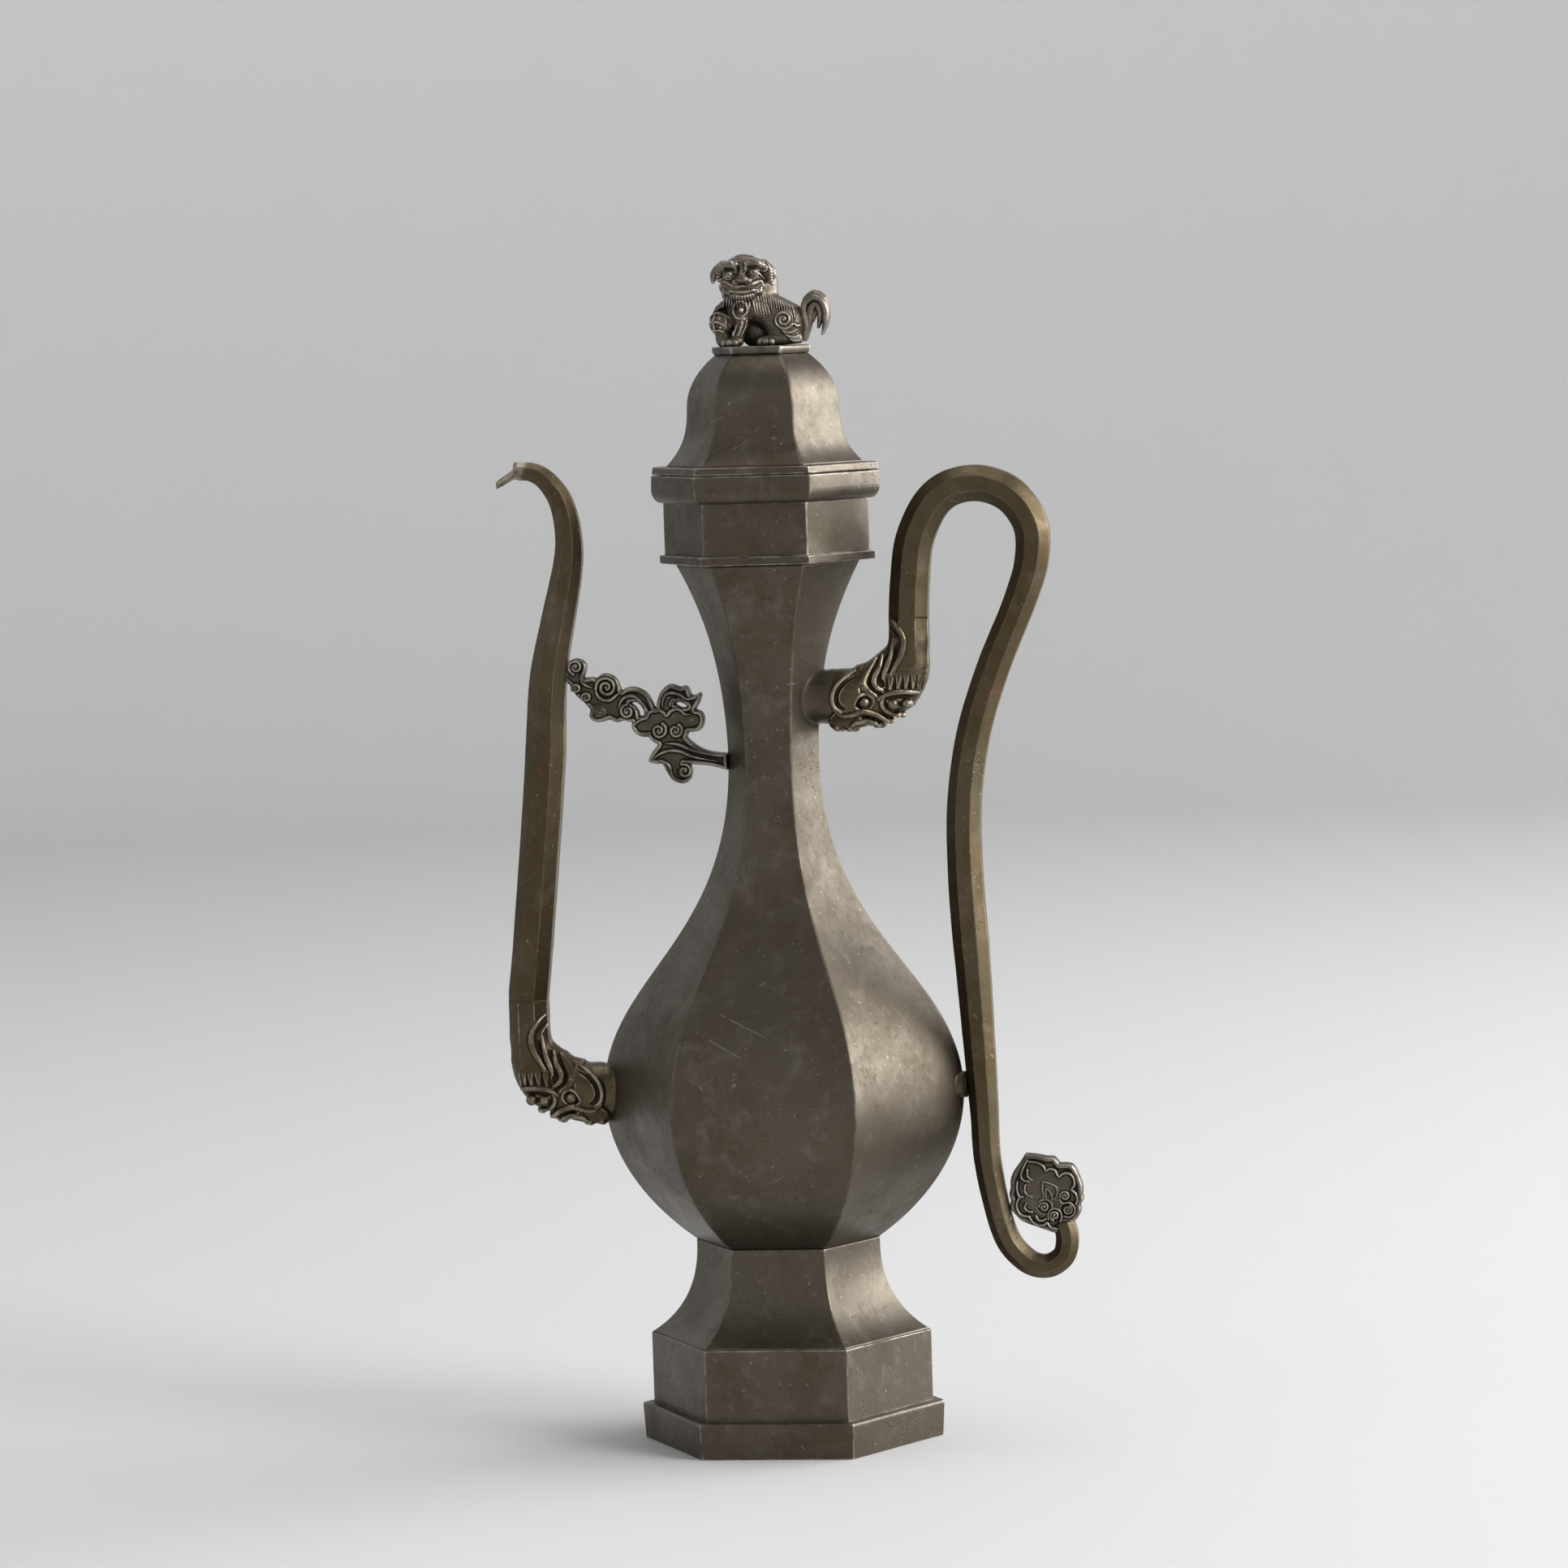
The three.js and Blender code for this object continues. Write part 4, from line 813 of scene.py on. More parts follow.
def handle_line():
    arch = [[0.01, 0.53], [0.044, 0.753], [0.154, 0.94], [0.321, 1], [0.488, 0.948],
            [0.591, 0.805], [0.595, 0.63], [0.533, 0.436], [0.398, 0.122], [0.296, -0.185]]
    leg = [[-0.033, 0.862], [-0.036, 0.638], [-0.02, 0.338], [-0.002, -0.023]]
    curve = [[0.014, -0.425], [0.095, -0.807], [0.207, -0.961], [0.323, -1], [0.421, -0.944],
             [0.445, -0.84], [0.424, -0.749]]
    points = [[HANDLE_X, HANDLE_ROOT_Z + HANDLE_SHANK - 0.6],
              *(np.array(arch) * HANDLE_ARCH + [HANDLE_X, HANDLE_ROOT_Z]),
              *(np.array(leg) * THROAT_HEIGHT + [HANDLE_LOW_X, BELLY_Z]),
              *(np.array(curve) * HANDLE_DROP + [HANDLE_LOW_X, BELLY_Z])]
    return along(spline(points, 14))


def handle():
    line, t = handle_line()
    wide = np.interp(t, [0, 0.19, 0.31, 0.62, 0.79, 1], [BAR, 13.7, 12.3, 13.8, 10.7, 8.6])
    rows = sweep(line, wide, 0.7)
    n = rows.shape[1]
    f = ring_faces(len(rows), n)[:, ::-1]
    v = settle(rows.reshape(-1, 3), f, 0.1, 12, 31)
    seam = np.arange(len(v)) < 2 * n
    add_piece("handle_octagon", v, f, WARM_METAL, "vessel", ["handle_bar"], 0.55,
              caps=end_caps(len(v), n, 1), rubbed_and_lit=-1.0 * seam)


def collar(name, radius, z, outer_x, metal, node, side, swell):
    """Round stub soldered over the body's corner, with a fillet of solder where it lands."""
    n = 56
    turn = np.arange(n) * 2 * math.pi / n
    rings = []
    # t is the share of the way out, and grow what the radius gains there
    for t, grow in ((0, 0.75), (0.03, 0.5), (0.1, 0.2), (0.2, 0), (0.45, swell), (0.7, swell),
                    (0.93, 0), (0.98, -0.12), (1, -0.5)):
        y, dz = (radius + grow) * np.cos(turn), (radius + grow) * np.sin(turn)
        start = body_corner(z + dz) - np.abs(y) / ROOT3 - 0.4
        rings.append(np.column_stack([side * (start + (outer_x - start) * t), y, z + dz]))
    f = ring_faces(len(rings), n)[:, ::-side]
    v = settle(np.vstack(rings), f, 0.08, 6, 41)
    add_piece(name, v, f, metal, "vessel", [node], 1.2, 2, end_caps(len(v), n, 1))


def collars():
    collar("spout_collar_ring", COLLAR, SPOUT_ROOT_Z, -SPOUT_X - DRAGON_REACH - 0.3, WARM_METAL,
           "spout_collar", -1, 0)
    collar("handle_collar_ring", COLLAR, HANDLE_ROOT_Z, HANDLE_X - DRAGON_REACH - 0.3, CAST_METAL,
           "handle_collar", 1, 0.3)
    collar("handle_peg_stub", 5.1, BELLY_Z + 2, 71.9, CAST_METAL, "handle_peg", 1,
           0)


# Dragons' heads
class Graver:
    """Draws ridges and grooves on the surface that faces -Y, as it lies when the work begins."""

    def __init__(self, clay, blend):
        self.clay, self.blend = clay, blend
        inside = clay.d < 0
        first = clay.axes[1][np.argmax(inside, axis=1)]
        self.front = np.where(inside.any(axis=1), first, np.nan)

    def depth(self, x, z):
        i = np.clip(np.searchsorted(self.clay.axes[0], x), 0, self.front.shape[0] - 1)
        k = np.clip(np.searchsorted(self.clay.axes[2], z), 0, self.front.shape[1] - 1)
        for reach in (2, 9):
            near = self.front[max(0, i - reach):i + reach + 1, max(0, k - reach):k + reach + 1]
            if not np.isnan(near).all():
                return np.nanmin(near)
        return -1.0

    def ridge(self, points, sink, blend=None):
        """Stroke through [x, z, radius], its centre sunk by a share of the radius."""
        self.clay.limb([[x, self.depth(x, z) + sink * r, z, r] for x, z, r in points],
                       blend or self.blend)

    def groove(self, points):
        self.clay.limb([[x, self.depth(x, z), z, r] for x, z, r in points], self.blend - 0.05, True)


SKIRT = [(-20.6, 13), (-20.6, 9.9), (-24.4, 8.4), (-27.2, 5.7), (-29.4, 2.6), (-30.1, -0.4),
         (-29.4, -3.2), (-27.8, -5.4), (-30.6, -8), (-30.4, -17), (14, -17), (14, 40), (-20.6, 40)]


def dragon_clay():
    """Half of the head, in mm from where the bar's axis meets the collar's height. A core runs
    from the collar round the bend to the bar, with a skirt round the collar and an octagonal
    sleeve round the bar. Jaw, curls and cheek are joined to it, and the rest is graved."""
    clay = Clay([-34, -14, -15.5], [11, 0, 37.5], CAST_STEP)
    clay.limb([(-27, 0, 0, 10.4), (-16, 0, 0, 9.9), (-6, 0, 1.8, 8.9), (-0.9, 0, 8, 8.0),
               (0, 0, 13, 7.4)], 0)
    clay.limb([(-26, 0, 0, 10.2), (-20, 0, 0.6, 10.1), (-14, 0, 4.4, 9), (-8, 0, 9.6, 8),
               (-3, 0, 15, 7.2), (0, 0, 20, 7)], 2)
    x, y, z = clay.grid()
    skirt = np.maximum(np.sqrt(y ** 2 + z ** 2) - 11.7, clay.outline(np.array(SKIRT, float)))
    clay.join(np.maximum(skirt, x + 19), 2.5)
    wide, deep = np.abs(x), np.abs(y)
    octagon = np.maximum(np.maximum(wide, deep), (wide + deep) * COS45) - BAR / 2
    clay.join(np.maximum(octagon + smooth_step((24 - z) / 12), 12 - z), 2.5)
    clay.limb([(-29, -4, -9.6, 2.6), (-24, -4, -10, 3), (-18, -4, -8.4, 2.8)], 2)
    for x, z, r in ((-28.4, -11.6, 1.9), (-23.4, -11.9, 1.8), (-17.4, -9.9, 1.6),
                    (-13, -10.6, 1.9), (-9.6, -9.4, 1.5), (-4.8, -7.4, 1.3)):
        clay.egg((x, -3.6, z), (r, 3.4, r), 0.8)
        clay.egg((x + 1.5, 0, z - 0.3), (r, 2.6, r), 0.8)
    clay.egg((-22.4, -8.6, 0.9), (4.7, 3.6, 4.3), 1)
    graver = Graver(clay, 0.35)
    ridge, groove = graver.ridge, graver.groove
    groove([(-20.4, 8.2, 0.6), (-24.6, 6, 1), (-27.1, 3.2, 1.2), (-28.1, 0, 1.2),
            (-27.2, -2.8, 1.1), (-25.2, -4.4, 0.8)])
    groove([(-11.6, 15.6, 0.6), (-12.9, 11.4, 1.1), (-14.9, 7.6, 1.4), (-15.1, 4.8, 1.3),
            (-13, 1.9, 1.1), (-10.4, 0.6, 0.8)])
    groove([(-8.6, 16.4, 0.7), (-9.3, 12, 1.2), (-11, 8.2, 1.3), (-10.6, 5.4, 1.2),
            (-8.6, 4.2, 0.9)])
    groove([(-7.6, 27, 0.8), (-4.2, 22.6, 1.3), (-4, 18.4, 1.5), (-5.6, 13.8, 1.4),
            (-8, 9.8, 1)])
    groove([(-21.5, -8.6, 0.7), (-18.4, -7.7, 1.2), (-14.2, -8.6, 1.3), (-10.8, -10.4, 0.9)])
    groove([(-9.4, -0.9, 0.7), (-4, -0.4, 0.9), (1.4, -0.6, 0.9), (4.6, -1.8, 0.8)])
    groove([(-9.2, -1.2, 0.6), (-9.1, -3.2, 0.8), (-7.6, -5.2, 0.8), (-4.4, -5.6, 0.7),
            (-0.6, -5.3, 0.6)])
    for x, low in ((-8.6, 2.8), (-5.6, 2.9), (-2.5, 3), (0.4, 2.9), (3, 2.7), (5.2, 2.3)):
        groove([(x + 0.3, low + 4.9, 0.3), (x + 0.2, low + 2.4, 0.7), (x - 0.1, low, 1)])
    clay.egg((-17.2, -11.2, -2), (3.5, 2.5, 2.9), 0.5, True)
    clay.egg((-17.3, -9.2, -2), (2.3, 2.4, 2.2), 0.1)
    ridge([(-20.8, -2.6, 0.5), (-19.3, 0.2, 0.7), (-16.6, 1.3, 0.8), (-14.2, 0.1, 0.7),
           (-13.5, -2.2, 0.6), (-14.9, -4.3, 0.5)], 0.35)
    ridge([(-20.6, 10.2, 0.5), (-24.6, 7.5, 0.7), (-27.7, 4.6, 0.8), (-29.1, 1.6, 0.8),
           (-29.3, -1.4, 0.8), (-28.3, -4, 0.7), (-26.2, -5.6, 0.6)], 0.4)
    ridge([(-12.8, 14.6, 0.8), (-15.2, 10.8, 1.7), (-17.2, 7.3, 2.3), (-17.8, 4.7, 2.3),
           (-16, 2.5, 1.7), (-13, 0.6, 0.9)], 0.6)
    ridge([(-10, 16, 0.5), (-11, 11.6, 1), (-12.9, 7.8, 1.2), (-13.2, 5.2, 1.1),
           (-11.8, 3.4, 1), (-10.2, 2.6, 0.6)], 0.3)
    ridge([(-5.6, 22, 0.5), (-6.3, 17, 0.9), (-7.6, 12.8, 1.1), (-9.2, 9.2, 1),
           (-9.8, 7, 0.6)], 0.3)
    ridge([(-6.9, 30, 0.5), (-4.2, 27.4, 0.9), (-1.6, 22, 1.3), (-2.4, 16.2, 1.4),
           (-4.7, 11.8, 1.2), (-6.7, 8.2, 0.8)], 0.35)
    ridge([(-11.6, -1.2, 0.5), (-9, 0.6, 0.9), (-4.5, 1.5, 1.1), (0.5, 1.5, 1),
           (3.8, 0.9, 0.4)], 0.25)
    clay.egg((-6.3, -6.9, -2.9), (2.4, 2.7, 2.3), 0.1)
    clay.egg((-0.9, -6.6, -3), (2.3, 2.6, 2.2), 0.1)
    ridge([(-9.4, 0.2, 0.4), (-10.6, -2.4, 0.9), (-9.7, -5.1, 1), (-7, -6.9, 0.8),
           (-4.4, -7.2, 0.4)], 0.3)
    ridge([(-28.8, -4.6, 0.5), (-26.2, -6.8, 0.9), (-22.4, -6.8, 1.1), (-18, -5.4, 1.3),
           (-13.7, -6.7, 1.4), (-10.4, -8.6, 1), (-8.2, -10, 0.5)], 0.35)
    ridge([(-22.6, -11.2, 0.7), (-20.4, -9.8, 1.1), (-16.8, -9.3, 1.2), (-13.4, -10.4, 0.9)], 0.3)
    return clay


def dragon(name, head, x, z, side, shank, node):
    """One of the two heads: turned to its side, and cut where it meets the body and the bar."""
    clay = copy.copy(head)
    out, y, up = clay.grid()
    clay.trim(up - shank)
    clay.trim((body_corner(z + up) + 0.2 - np.abs(y) / ROOT3 - (abs(x) + out)) * COS30)
    v, f = clay.mirrored().skin()
    v = v * [side, 1, 1]
    seam = smooth_step((v[:, 2] - shank + 1.2) / 0.6)
    add_piece(name, v + [x, 0, z], f[:, ::side], WARM_METAL, "vessel", [node], 1.6, 2,
              rubbed_and_lit=-seam)


def dragons():
    head = dragon_clay()
    dragon("handle_dragon_cast", head, HANDLE_X, HANDLE_ROOT_Z, 1, HANDLE_SHANK,
           "handle_dragon")
    dragon("spout_dragon_cast", head, SPOUT_X, SPOUT_ROOT_Z, -1, SPOUT_SHANK,
           "spout_dragon")


# Flat castings, drawn in mm from a point of their own
def casting(lo, hi, thickness, edge, outline, holes, relief):
    """Half of a plate in the plane y = 0, alike on both faces. relief draws its heights."""
    clay = Clay([lo[0], -thickness / 2 - 1.6, lo[1]], [hi[0], 0, hi[1]], CAST_STEP)
    shape = clay.outline(outline)
    for hole in holes:
        shape = np.maximum(shape, -clay.outline(np.array(hole, float)))
    slab = thickness / 2 - np.abs(clay.grid()[1])
    clay.d = -blend_low(-shape, slab, edge * 2).astype(np.float32)
    canvas = Relief(clay)
    relief(canvas, shape)
    clay.emboss(canvas, lambda y: smooth_step(np.abs(y) / (thickness / 2)))
    return clay


def closed(strokes, per_span):
    """One closed outline, with a corner where each stroke ends and the next one starts."""
    points, corner = [], strokes[-1][-1]
    for stroke in strokes:
        points.extend(spline([corner, *stroke], per_span)[:-1])
        corner = stroke[-1]
    return np.array(points)


def add_casting(name, clay, x, z, node):
    v, f = clay.mirrored().skin()
    add_piece(name, v + [x, 0, z], f, CAST_METAL, "vessel", [node], 1.1, 2)


STRUT_EDGE = [
    [[-1.5, 12.8], [0.4, 12.5], [1.8, 14.7], [4.4, 15.7], [7.1, 15], [8.7, 12.7], [7.7, 8]],
    [[10.5, 8.4], [12.3, 7.9]], [[14.7, 9.5], [17.7, 9.3], [20.3, 7.3], [22.2, 2.9]],
    [[24.3, 4], [27.1, 4.2], [30, 3.2], [32.7, 0.9], [35.2, -4.4]],
    [[35.8, -1.4], [37, 1.7], [39.2, 4], [41.7, 5], [45.3, 3.8]],
    [[47.2, 4.3], [48.7, 3], [49.5, 0.7], [51.1, 0.7], [52.9, 1.8]],
    [[53.5, 0.2], [52.6, -2.5], [51, -5.2]],
    [[53, -5.8], [54.3, -8.2], [53.8, -11.5], [51.8, -13.6], [47.9, -14]], [[47.3, -15.9]],
    [[49.6, -18], [53.2, -20.4], [57.7, -21.7], [63, -22.3]], [[63, -29.2]],
    [[59.8, -28.4], [54.8, -27.2], [45.9, -26.3]],
    [[47.7, -27.2], [48.7, -29.3], [48.2, -32], [45.9, -33.8], [43.2, -33.7], [40.3, -31.9],
     [37, -26.1]], [[34.3, -26.1], [31.4, -25.3]], [[32.6, -22.2], [35.5, -18.6]],
    [[33.2, -17.2], [32.1, -15.6]], [[29.4, -15.5], [26.7, -13.9], [25.4, -11.6], [25.7, -9.8]],
    [[22.1, -9]], [[19.8, -9.7], [17.1, -8.5]],
    [[12.5, -9.5], [10, -8.6], [8.9, -6.7], [9.6, -4.5]], [[6.3, -0.8]],
    [[3.7, 1.5], [2.4, 4.3], [0.2, 6.6], [-3, 8.4]], [[-3, 13]],
]
UNDER_ARCH = [[25.6, -2.1], [27.6, -1.9], [29.3, -3.3], [30.5, -5.4], [30.2, -7.2], [29, -7.2],
              [28.6, -5.3], [27.3, -3.3]]
FLAME_SLIT = [[43, -2.8], [44.8, -2.1], [47.6, -3.9], [45.6, -4.3]]
STRUT_SPIRALS = [
    ((4.4, 12.3), 2.9, 250, -1.5), ((16.2, 4.2), 4.1, 185, -1.7), ((24.2, -5.4), 2.7, 95, 1.4),
    ((36.3, -13.0), 3.1, 60, -1.5), ((42.9, -13.2), 2.7, 60, -1.5), ((45.9, -29.0), 2.8, 110, -1.3),
    ((4.4, 3.9), 1.8, 200, -1.3), ((8.3, 0.4), 1.8, 200, -1.3),
]
STRUT_LINES = [
    [[5.8, 9], [7.4, 5.8], [10.8, 4]],
    [[12, 5], [12.5, 1.4], [14.5, -0.5], [17.7, -0.7], [20.2, 1.1], [22.6, 3]],
    [[20.8, -4.6], [21.8, -1.4], [24.2, 0.5], [27, 0.4], [29.4, -1.6], [31.6, -5.2]],
    [[26.7, -12.6], [26.8, -10.6], [29.2, -8.8], [31.7, -7.9], [32.8, -6], [36.1, -4.9],
     [38.4, -6.2], [39.6, -7.3], [41.1, -5.7], [43.2, -4.8], [45.2, -5.4], [46.8, -6.9],
     [49.6, -7]],
    [[26.7, -12.6], [28.8, -14], [31.5, -14.2], [33.4, -13.6]],
    [[37.9, -4.4], [38.4, -1], [39.8, 1], [42.2, 1.5], [44.9, 0.8], [47.5, -1],
     [50.3, -0.5], [52.2, 0.9]],
    [[40.6, -4.2], [41.4, -2], [43, -1], [46, -2.4]],
    [[33.4, -24.2], [37, -21.8], [40.6, -20.9], [44.8, -21.4], [50, -23.6], [60, -25.6]],
    [[38, -18.2], [43.4, -18.4], [50, -21.2], [60, -23.6]],
    [[41, -30], [39.6, -26.4], [36, -24.2]],
]


def strut_relief(canvas, shape):
    canvas.rim(shape, 1.05, 0.9, 1.0)
    for centre, r, start, turns in STRUT_SPIRALS:
        canvas.boss(centre, r + 0.6, -0.8)
        canvas.stroke(curl(centre, r, start, turns, 0.2), 1.3, 0.78)
        canvas.boss(centre, 0.9, 1.2)
    for line in STRUT_LINES:
        canvas.stroke(line, 1.1, 0.8, 2)
    canvas.boss((12.4, -5.6), 3.4, 0.8)
    for k in range(4):
        canvas.stroke([[9.4 + 0.5 * k, -5.6 - 0.9 * k], [11.6 + 0.3 * k, -4.0 - 0.9 * k],
                       [14.8, -3.6 - 0.9 * k]], 0.9, 0.42, 2)


def strut():
    """Cloud strut, cut where it meets the body's corner and the spout."""
    clay = casting([-4, -35.5], [66, 17.5], 4.2, 1.1, closed(STRUT_EDGE, 5),
                   [UNDER_ARCH, FLAME_SLIT], strut_relief)
    x, y, z = clay.grid()
    x, z = x + STRUT_X, z + STRUT_Z
    clay.trim((body_corner(z) + 0.1 - np.abs(y) / ROOT3 + x) * COS30)
    line = spout_line()[0]
    line = line[:len(line) * 3 // 4]
    clay.trim(np.interp(z, line[:, 1], line[:, 0]) + BAR / 2 - 0.2 - x)
    add_casting("cloud_strut_cast", clay, STRUT_X, STRUT_Z, "cloud_strut")


RUYI_EDGE = [
    [[-9.6, 28.5], [-5.3, 27.6]], [[-2.6, 27.4], [-0.5, 25]], [[4.6, 24.3], [7.3, 19]],
    [[8.2, 15.8], [8, 12.6]], [[8.3, 10.6], [7, 8.8]], [[7.4, 6.6], [6.5, 4.6]],
    [[4.6, 2.2], [1, 1.5]], [[-1.2, -1.4], [-2.9, -2.6]], [[-7, -1.1], [-12, 0.7]],
    [[-15.9, 2.4], [-19, 5.5]], [[-20.4, 7.7], [-20, 10.5]], [[-20.6, 12.9], [-20, 15.3]],
    [[-19.9, 18.9], [-18.6, 22.1]], [[-15.9, 25.7], [-13.9, 28.9]],
]
RUYI_LINES = [
    [[-12.5, 25.8], [-9.2, 25.3], [-6.9, 23.9], [-6.1, 22.2], [-4.5, 22.9], [-2.5, 22.3],
     [-1.1, 19.8], [0.7, 21], [3.2, 20.9], [4.7, 18.8], [4.9, 16.4], [3.8, 14.8], [5.4, 13.1],
     [5.9, 10.7], [5.3, 9.1]],
    [[-13.3, 26.2], [-14.6, 23.8], [-15.7, 20.6], [-14.9, 18.6], [-12.7, 18.1]],
    [[-17.2, 17.9], [-17.4, 15.4], [-16.7, 12.4], [-15.3, 12.1]],
    [[-16.5, 11.8], [-17.6, 9.8], [-17.5, 7.3], [-16, 5.1], [-12.9, 4.3]],
    [[-13.2, 22.6], [-13.1, 20], [-11.5, 18.7]],
    [[-14.2, 16.5], [-14.4, 14.5], [-13.5, 12.9], [-11.7, 12.2]],
    [[-14, 9.6], [-14.6, 8], [-13.9, 6.8], [-11.8, 6.1]],
    [[-12.7, 3.9], [-11.6, 2.1], [-9.6, 0.9], [-7.2, 1.1], [-6.1, 1.9], [-4.8, 0.2], [-2.5, -0.5],
     [-0.7, 0], [0, 1.5]],
    [[-10.3, 4.6], [-9.5, 3.1], [-7.9, 2.7], [-6.5, 3.4]],
    [[-7.2, 18], [-7.5, 15.1], [-7.1, 12.3], [-8.5, 10.3], [-9.4, 8.3]],
    [[-7.2, 18], [-4.6, 17.3], [-2.2, 15.8], [-1.8, 13.3], [-2.8, 11.1]],
    [[-6.2, 11.6], [-6.1, 15.1], [-4.3, 13.4], [-3.7, 10.8]],
    [[-8.5, 10.4], [-6, 11], [-4.1, 9.4], [-3.7, 7.1]],
    [[-5.5, 3.3], [-5.2, 6.1], [-3.3, 7.4], [-1.2, 6.6], [-0.3, 4.4], [-1, 2.2]],
    [[-0.8, 11.3], [0, 9.4], [2.8, 9.6], [4.7, 7.5], [4.5, 5.3], [2.7, 4], [0.9, 4.3]],
]
RUYI_CURLS = [((-7.1, 8.0), 170, -1.5), ((-3.0, 4.6), 250, -1.4), ((2.0, 6.9), 60, -1.5),
              ((1.1, 12.3), 190, -1.6)]


def ruyi_relief(canvas, shape):
    canvas.rim(shape, 1.2, 1.0, 0.9)
    canvas.h += 0.9 * smooth_step((-shape - 2.0) / 6)
    for line in RUYI_LINES:
        canvas.stroke(line, 1.3, 0.62)
    for centre, start, turns in RUYI_CURLS:
        canvas.boss(centre, 2.6, -0.7)
        canvas.stroke(curl(centre, 1.9, start, turns, 0.2), 1.35, 0.6)
        canvas.boss(centre, 0.7, 1.3)


def ruyi():
    clay = casting([-22.5, -4], [10, 30.5], 4.8, 0.8, closed(RUYI_EDGE, 4), [], ruyi_relief)
    add_casting("ruyi_head_cast", clay, RUYI_X, RUYI_Z, "ruyi_head")


# Guardian lion
def lion_body(clay):
    """Haunches and hind feet, back and chest, near foreleg, and the paw that holds the ball."""
    for side in (-1, 1):
        clay.egg((8.8, 4.4 * side, 8.6), (6.6, 4.2, 7.2), 2)
        clay.limb([(14, 5 * side, 3.2, 2.8), (7, 6.6 * side, 2.4, 2.4),
                   (2, 7.2 * side, 1.9, 1.8)], 1)
        for x, y in ((0.6, 6.6), (1.2, 8.4), (3.2, 9.2), (5.4, 9.3)):
            clay.egg((x, side * y, 1.5), (1.35, 1.25, 1.55), 0.2)
    clay.limb([(10.5, 0, 9.5, 7.2), (3, 0, 13.4, 7.2), (-4.5, 0, 16.6, 7),
               (-8, -1, 20.5, 6.4)], 2.5)
    clay.egg((-7.6, -0.6, 13), (5.6, 6.2, 7), 2)
    clay.egg((-1.6, 1.6, 5.6), (6.6, 4.2, 6.2), 1.5)
    clay.limb([(-6.2, -4.6, 14.7, 4.2), (-6.3, -5.8, 9.4, 2.7), (-7.4, -6.2, 4.6, 2),
               (-8, -6.4, 2.2, 2.2)], 1.2)
    clay.egg((-9.8, -6.2, 1.8), (4, 3, 1.9), 0.8)
    for x, y in ((-13.4, -6.2), (-12.8, -8), (-11, -8.9), (-8.8, -9)):
        clay.egg((x, y, 1.35), (1.35, 1.25, 1.4), 0.2)
    clay.limb([(-8.6, 3, 14.4, 3.6), (-11.4, 2, 15, 2.8), (-14, 0.6, 15.2, 2.4)], 1)
    for k in range(4):
        clay.limb([(-13.6, -3.4 + 1.5 * k, 15.8, 1), (-15.6, -3.5 + 1.5 * k, 15.2, 1),
                   (-17, -3.6 + 1.5 * k, 13.2, 0.8)], 0.15)
    clay.egg((-14.3, -1.5, 9.2), 5.3, 0.2)
    clay.egg((-13.9, -1.5, 3.4), (3.4, 3.4, 3.9), 1)


def lion_head(clay):
    """Skull and mane, cheeks, snout, nose, eyes under their brows, and ears."""
    clay.egg((-5.4, -3, 26.2), (8.9, 7.8, 8.5), 1.5)
    clay.egg((1.2, 2, 22.6), (6, 7, 8.6), 2)
    clay.egg((-5.4, -8.2, 22.8), (6.6, 3.6, 2.8), 1.2)
    clay.egg((-5.4, -7.6, 20), (4.6, 3.4, 2.4), 1.2)
    clay.egg((-11.9, -6.2, 22.9), 2.8, 0.9)
    clay.egg((0.6, -6.2, 23.3), 2.8, 0.9)
    clay.limb([(-5.2, -9.2, 30.6, 1.2), (-5.1, -10.8, 28.4, 1.4), (-5, -12, 26.8, 1.7)], 0.9)
    clay.egg((-4.9, -12.3, 25.7), (2.6, 1.8, 1.6), 0.6)
    for x in (-7.2, -2.6):
        clay.egg((x, -11.7, 25), (1.6, 1.5, 1.35), 0.35)
        clay.egg((x, -13.3, 24.5), (0.6, 0.8, 0.45), 0.15, True)
    for x, y, z in ((-10.2, -11.4, 27.8), (-0.6, -11.6, 28.5)):
        clay.egg((x, y, z), (2.6, 2.4, 2.2), 0.6, True)
        clay.egg((x, y + 1.5, z - 0.1), 1.85, 0.05)
        clay.egg((x + 0.2, y - 0.6, z - 0.4), 0.65, 0.15, True)
        for first, last, r in ((200, 340, 0.45), (20, 160, 0.5)):
            turn = np.radians(np.linspace(first, last, 7))
            clay.limb([(x + 2.05 * math.cos(a), y + 0.9, z - 0.1 + 1.75 * math.sin(a),
                        r * (0.5 + 0.5 * abs(math.sin(a)))) for a in turn], 0.4)
        clay.egg((x, y + 1.2, z + 3.3), (4, 2.7, 1.5), 0.7)
    for x0, x1, x2, x3, r in ((-13, -15.2, -16.6, -17.1, 1.6), (2.4, 4.6, 5.9, 5.4, 1.8)):
        clay.limb([(x0, -6.2, 31.2, 1.5), (x1, -6, 29.8, r), (x2, -5.8, 27.4, r),
                   (x3, -6, 24.9, 0.7)], 0.6)
        clay.limb([(x0, -6.4, 29.6, 1), (x1 * 0.96 + 0.3, -6.4, 27.5, 1.1),
                   (x2 * 0.9 + 0.3, -6.6, 25.4, 0.6)], 0.35)


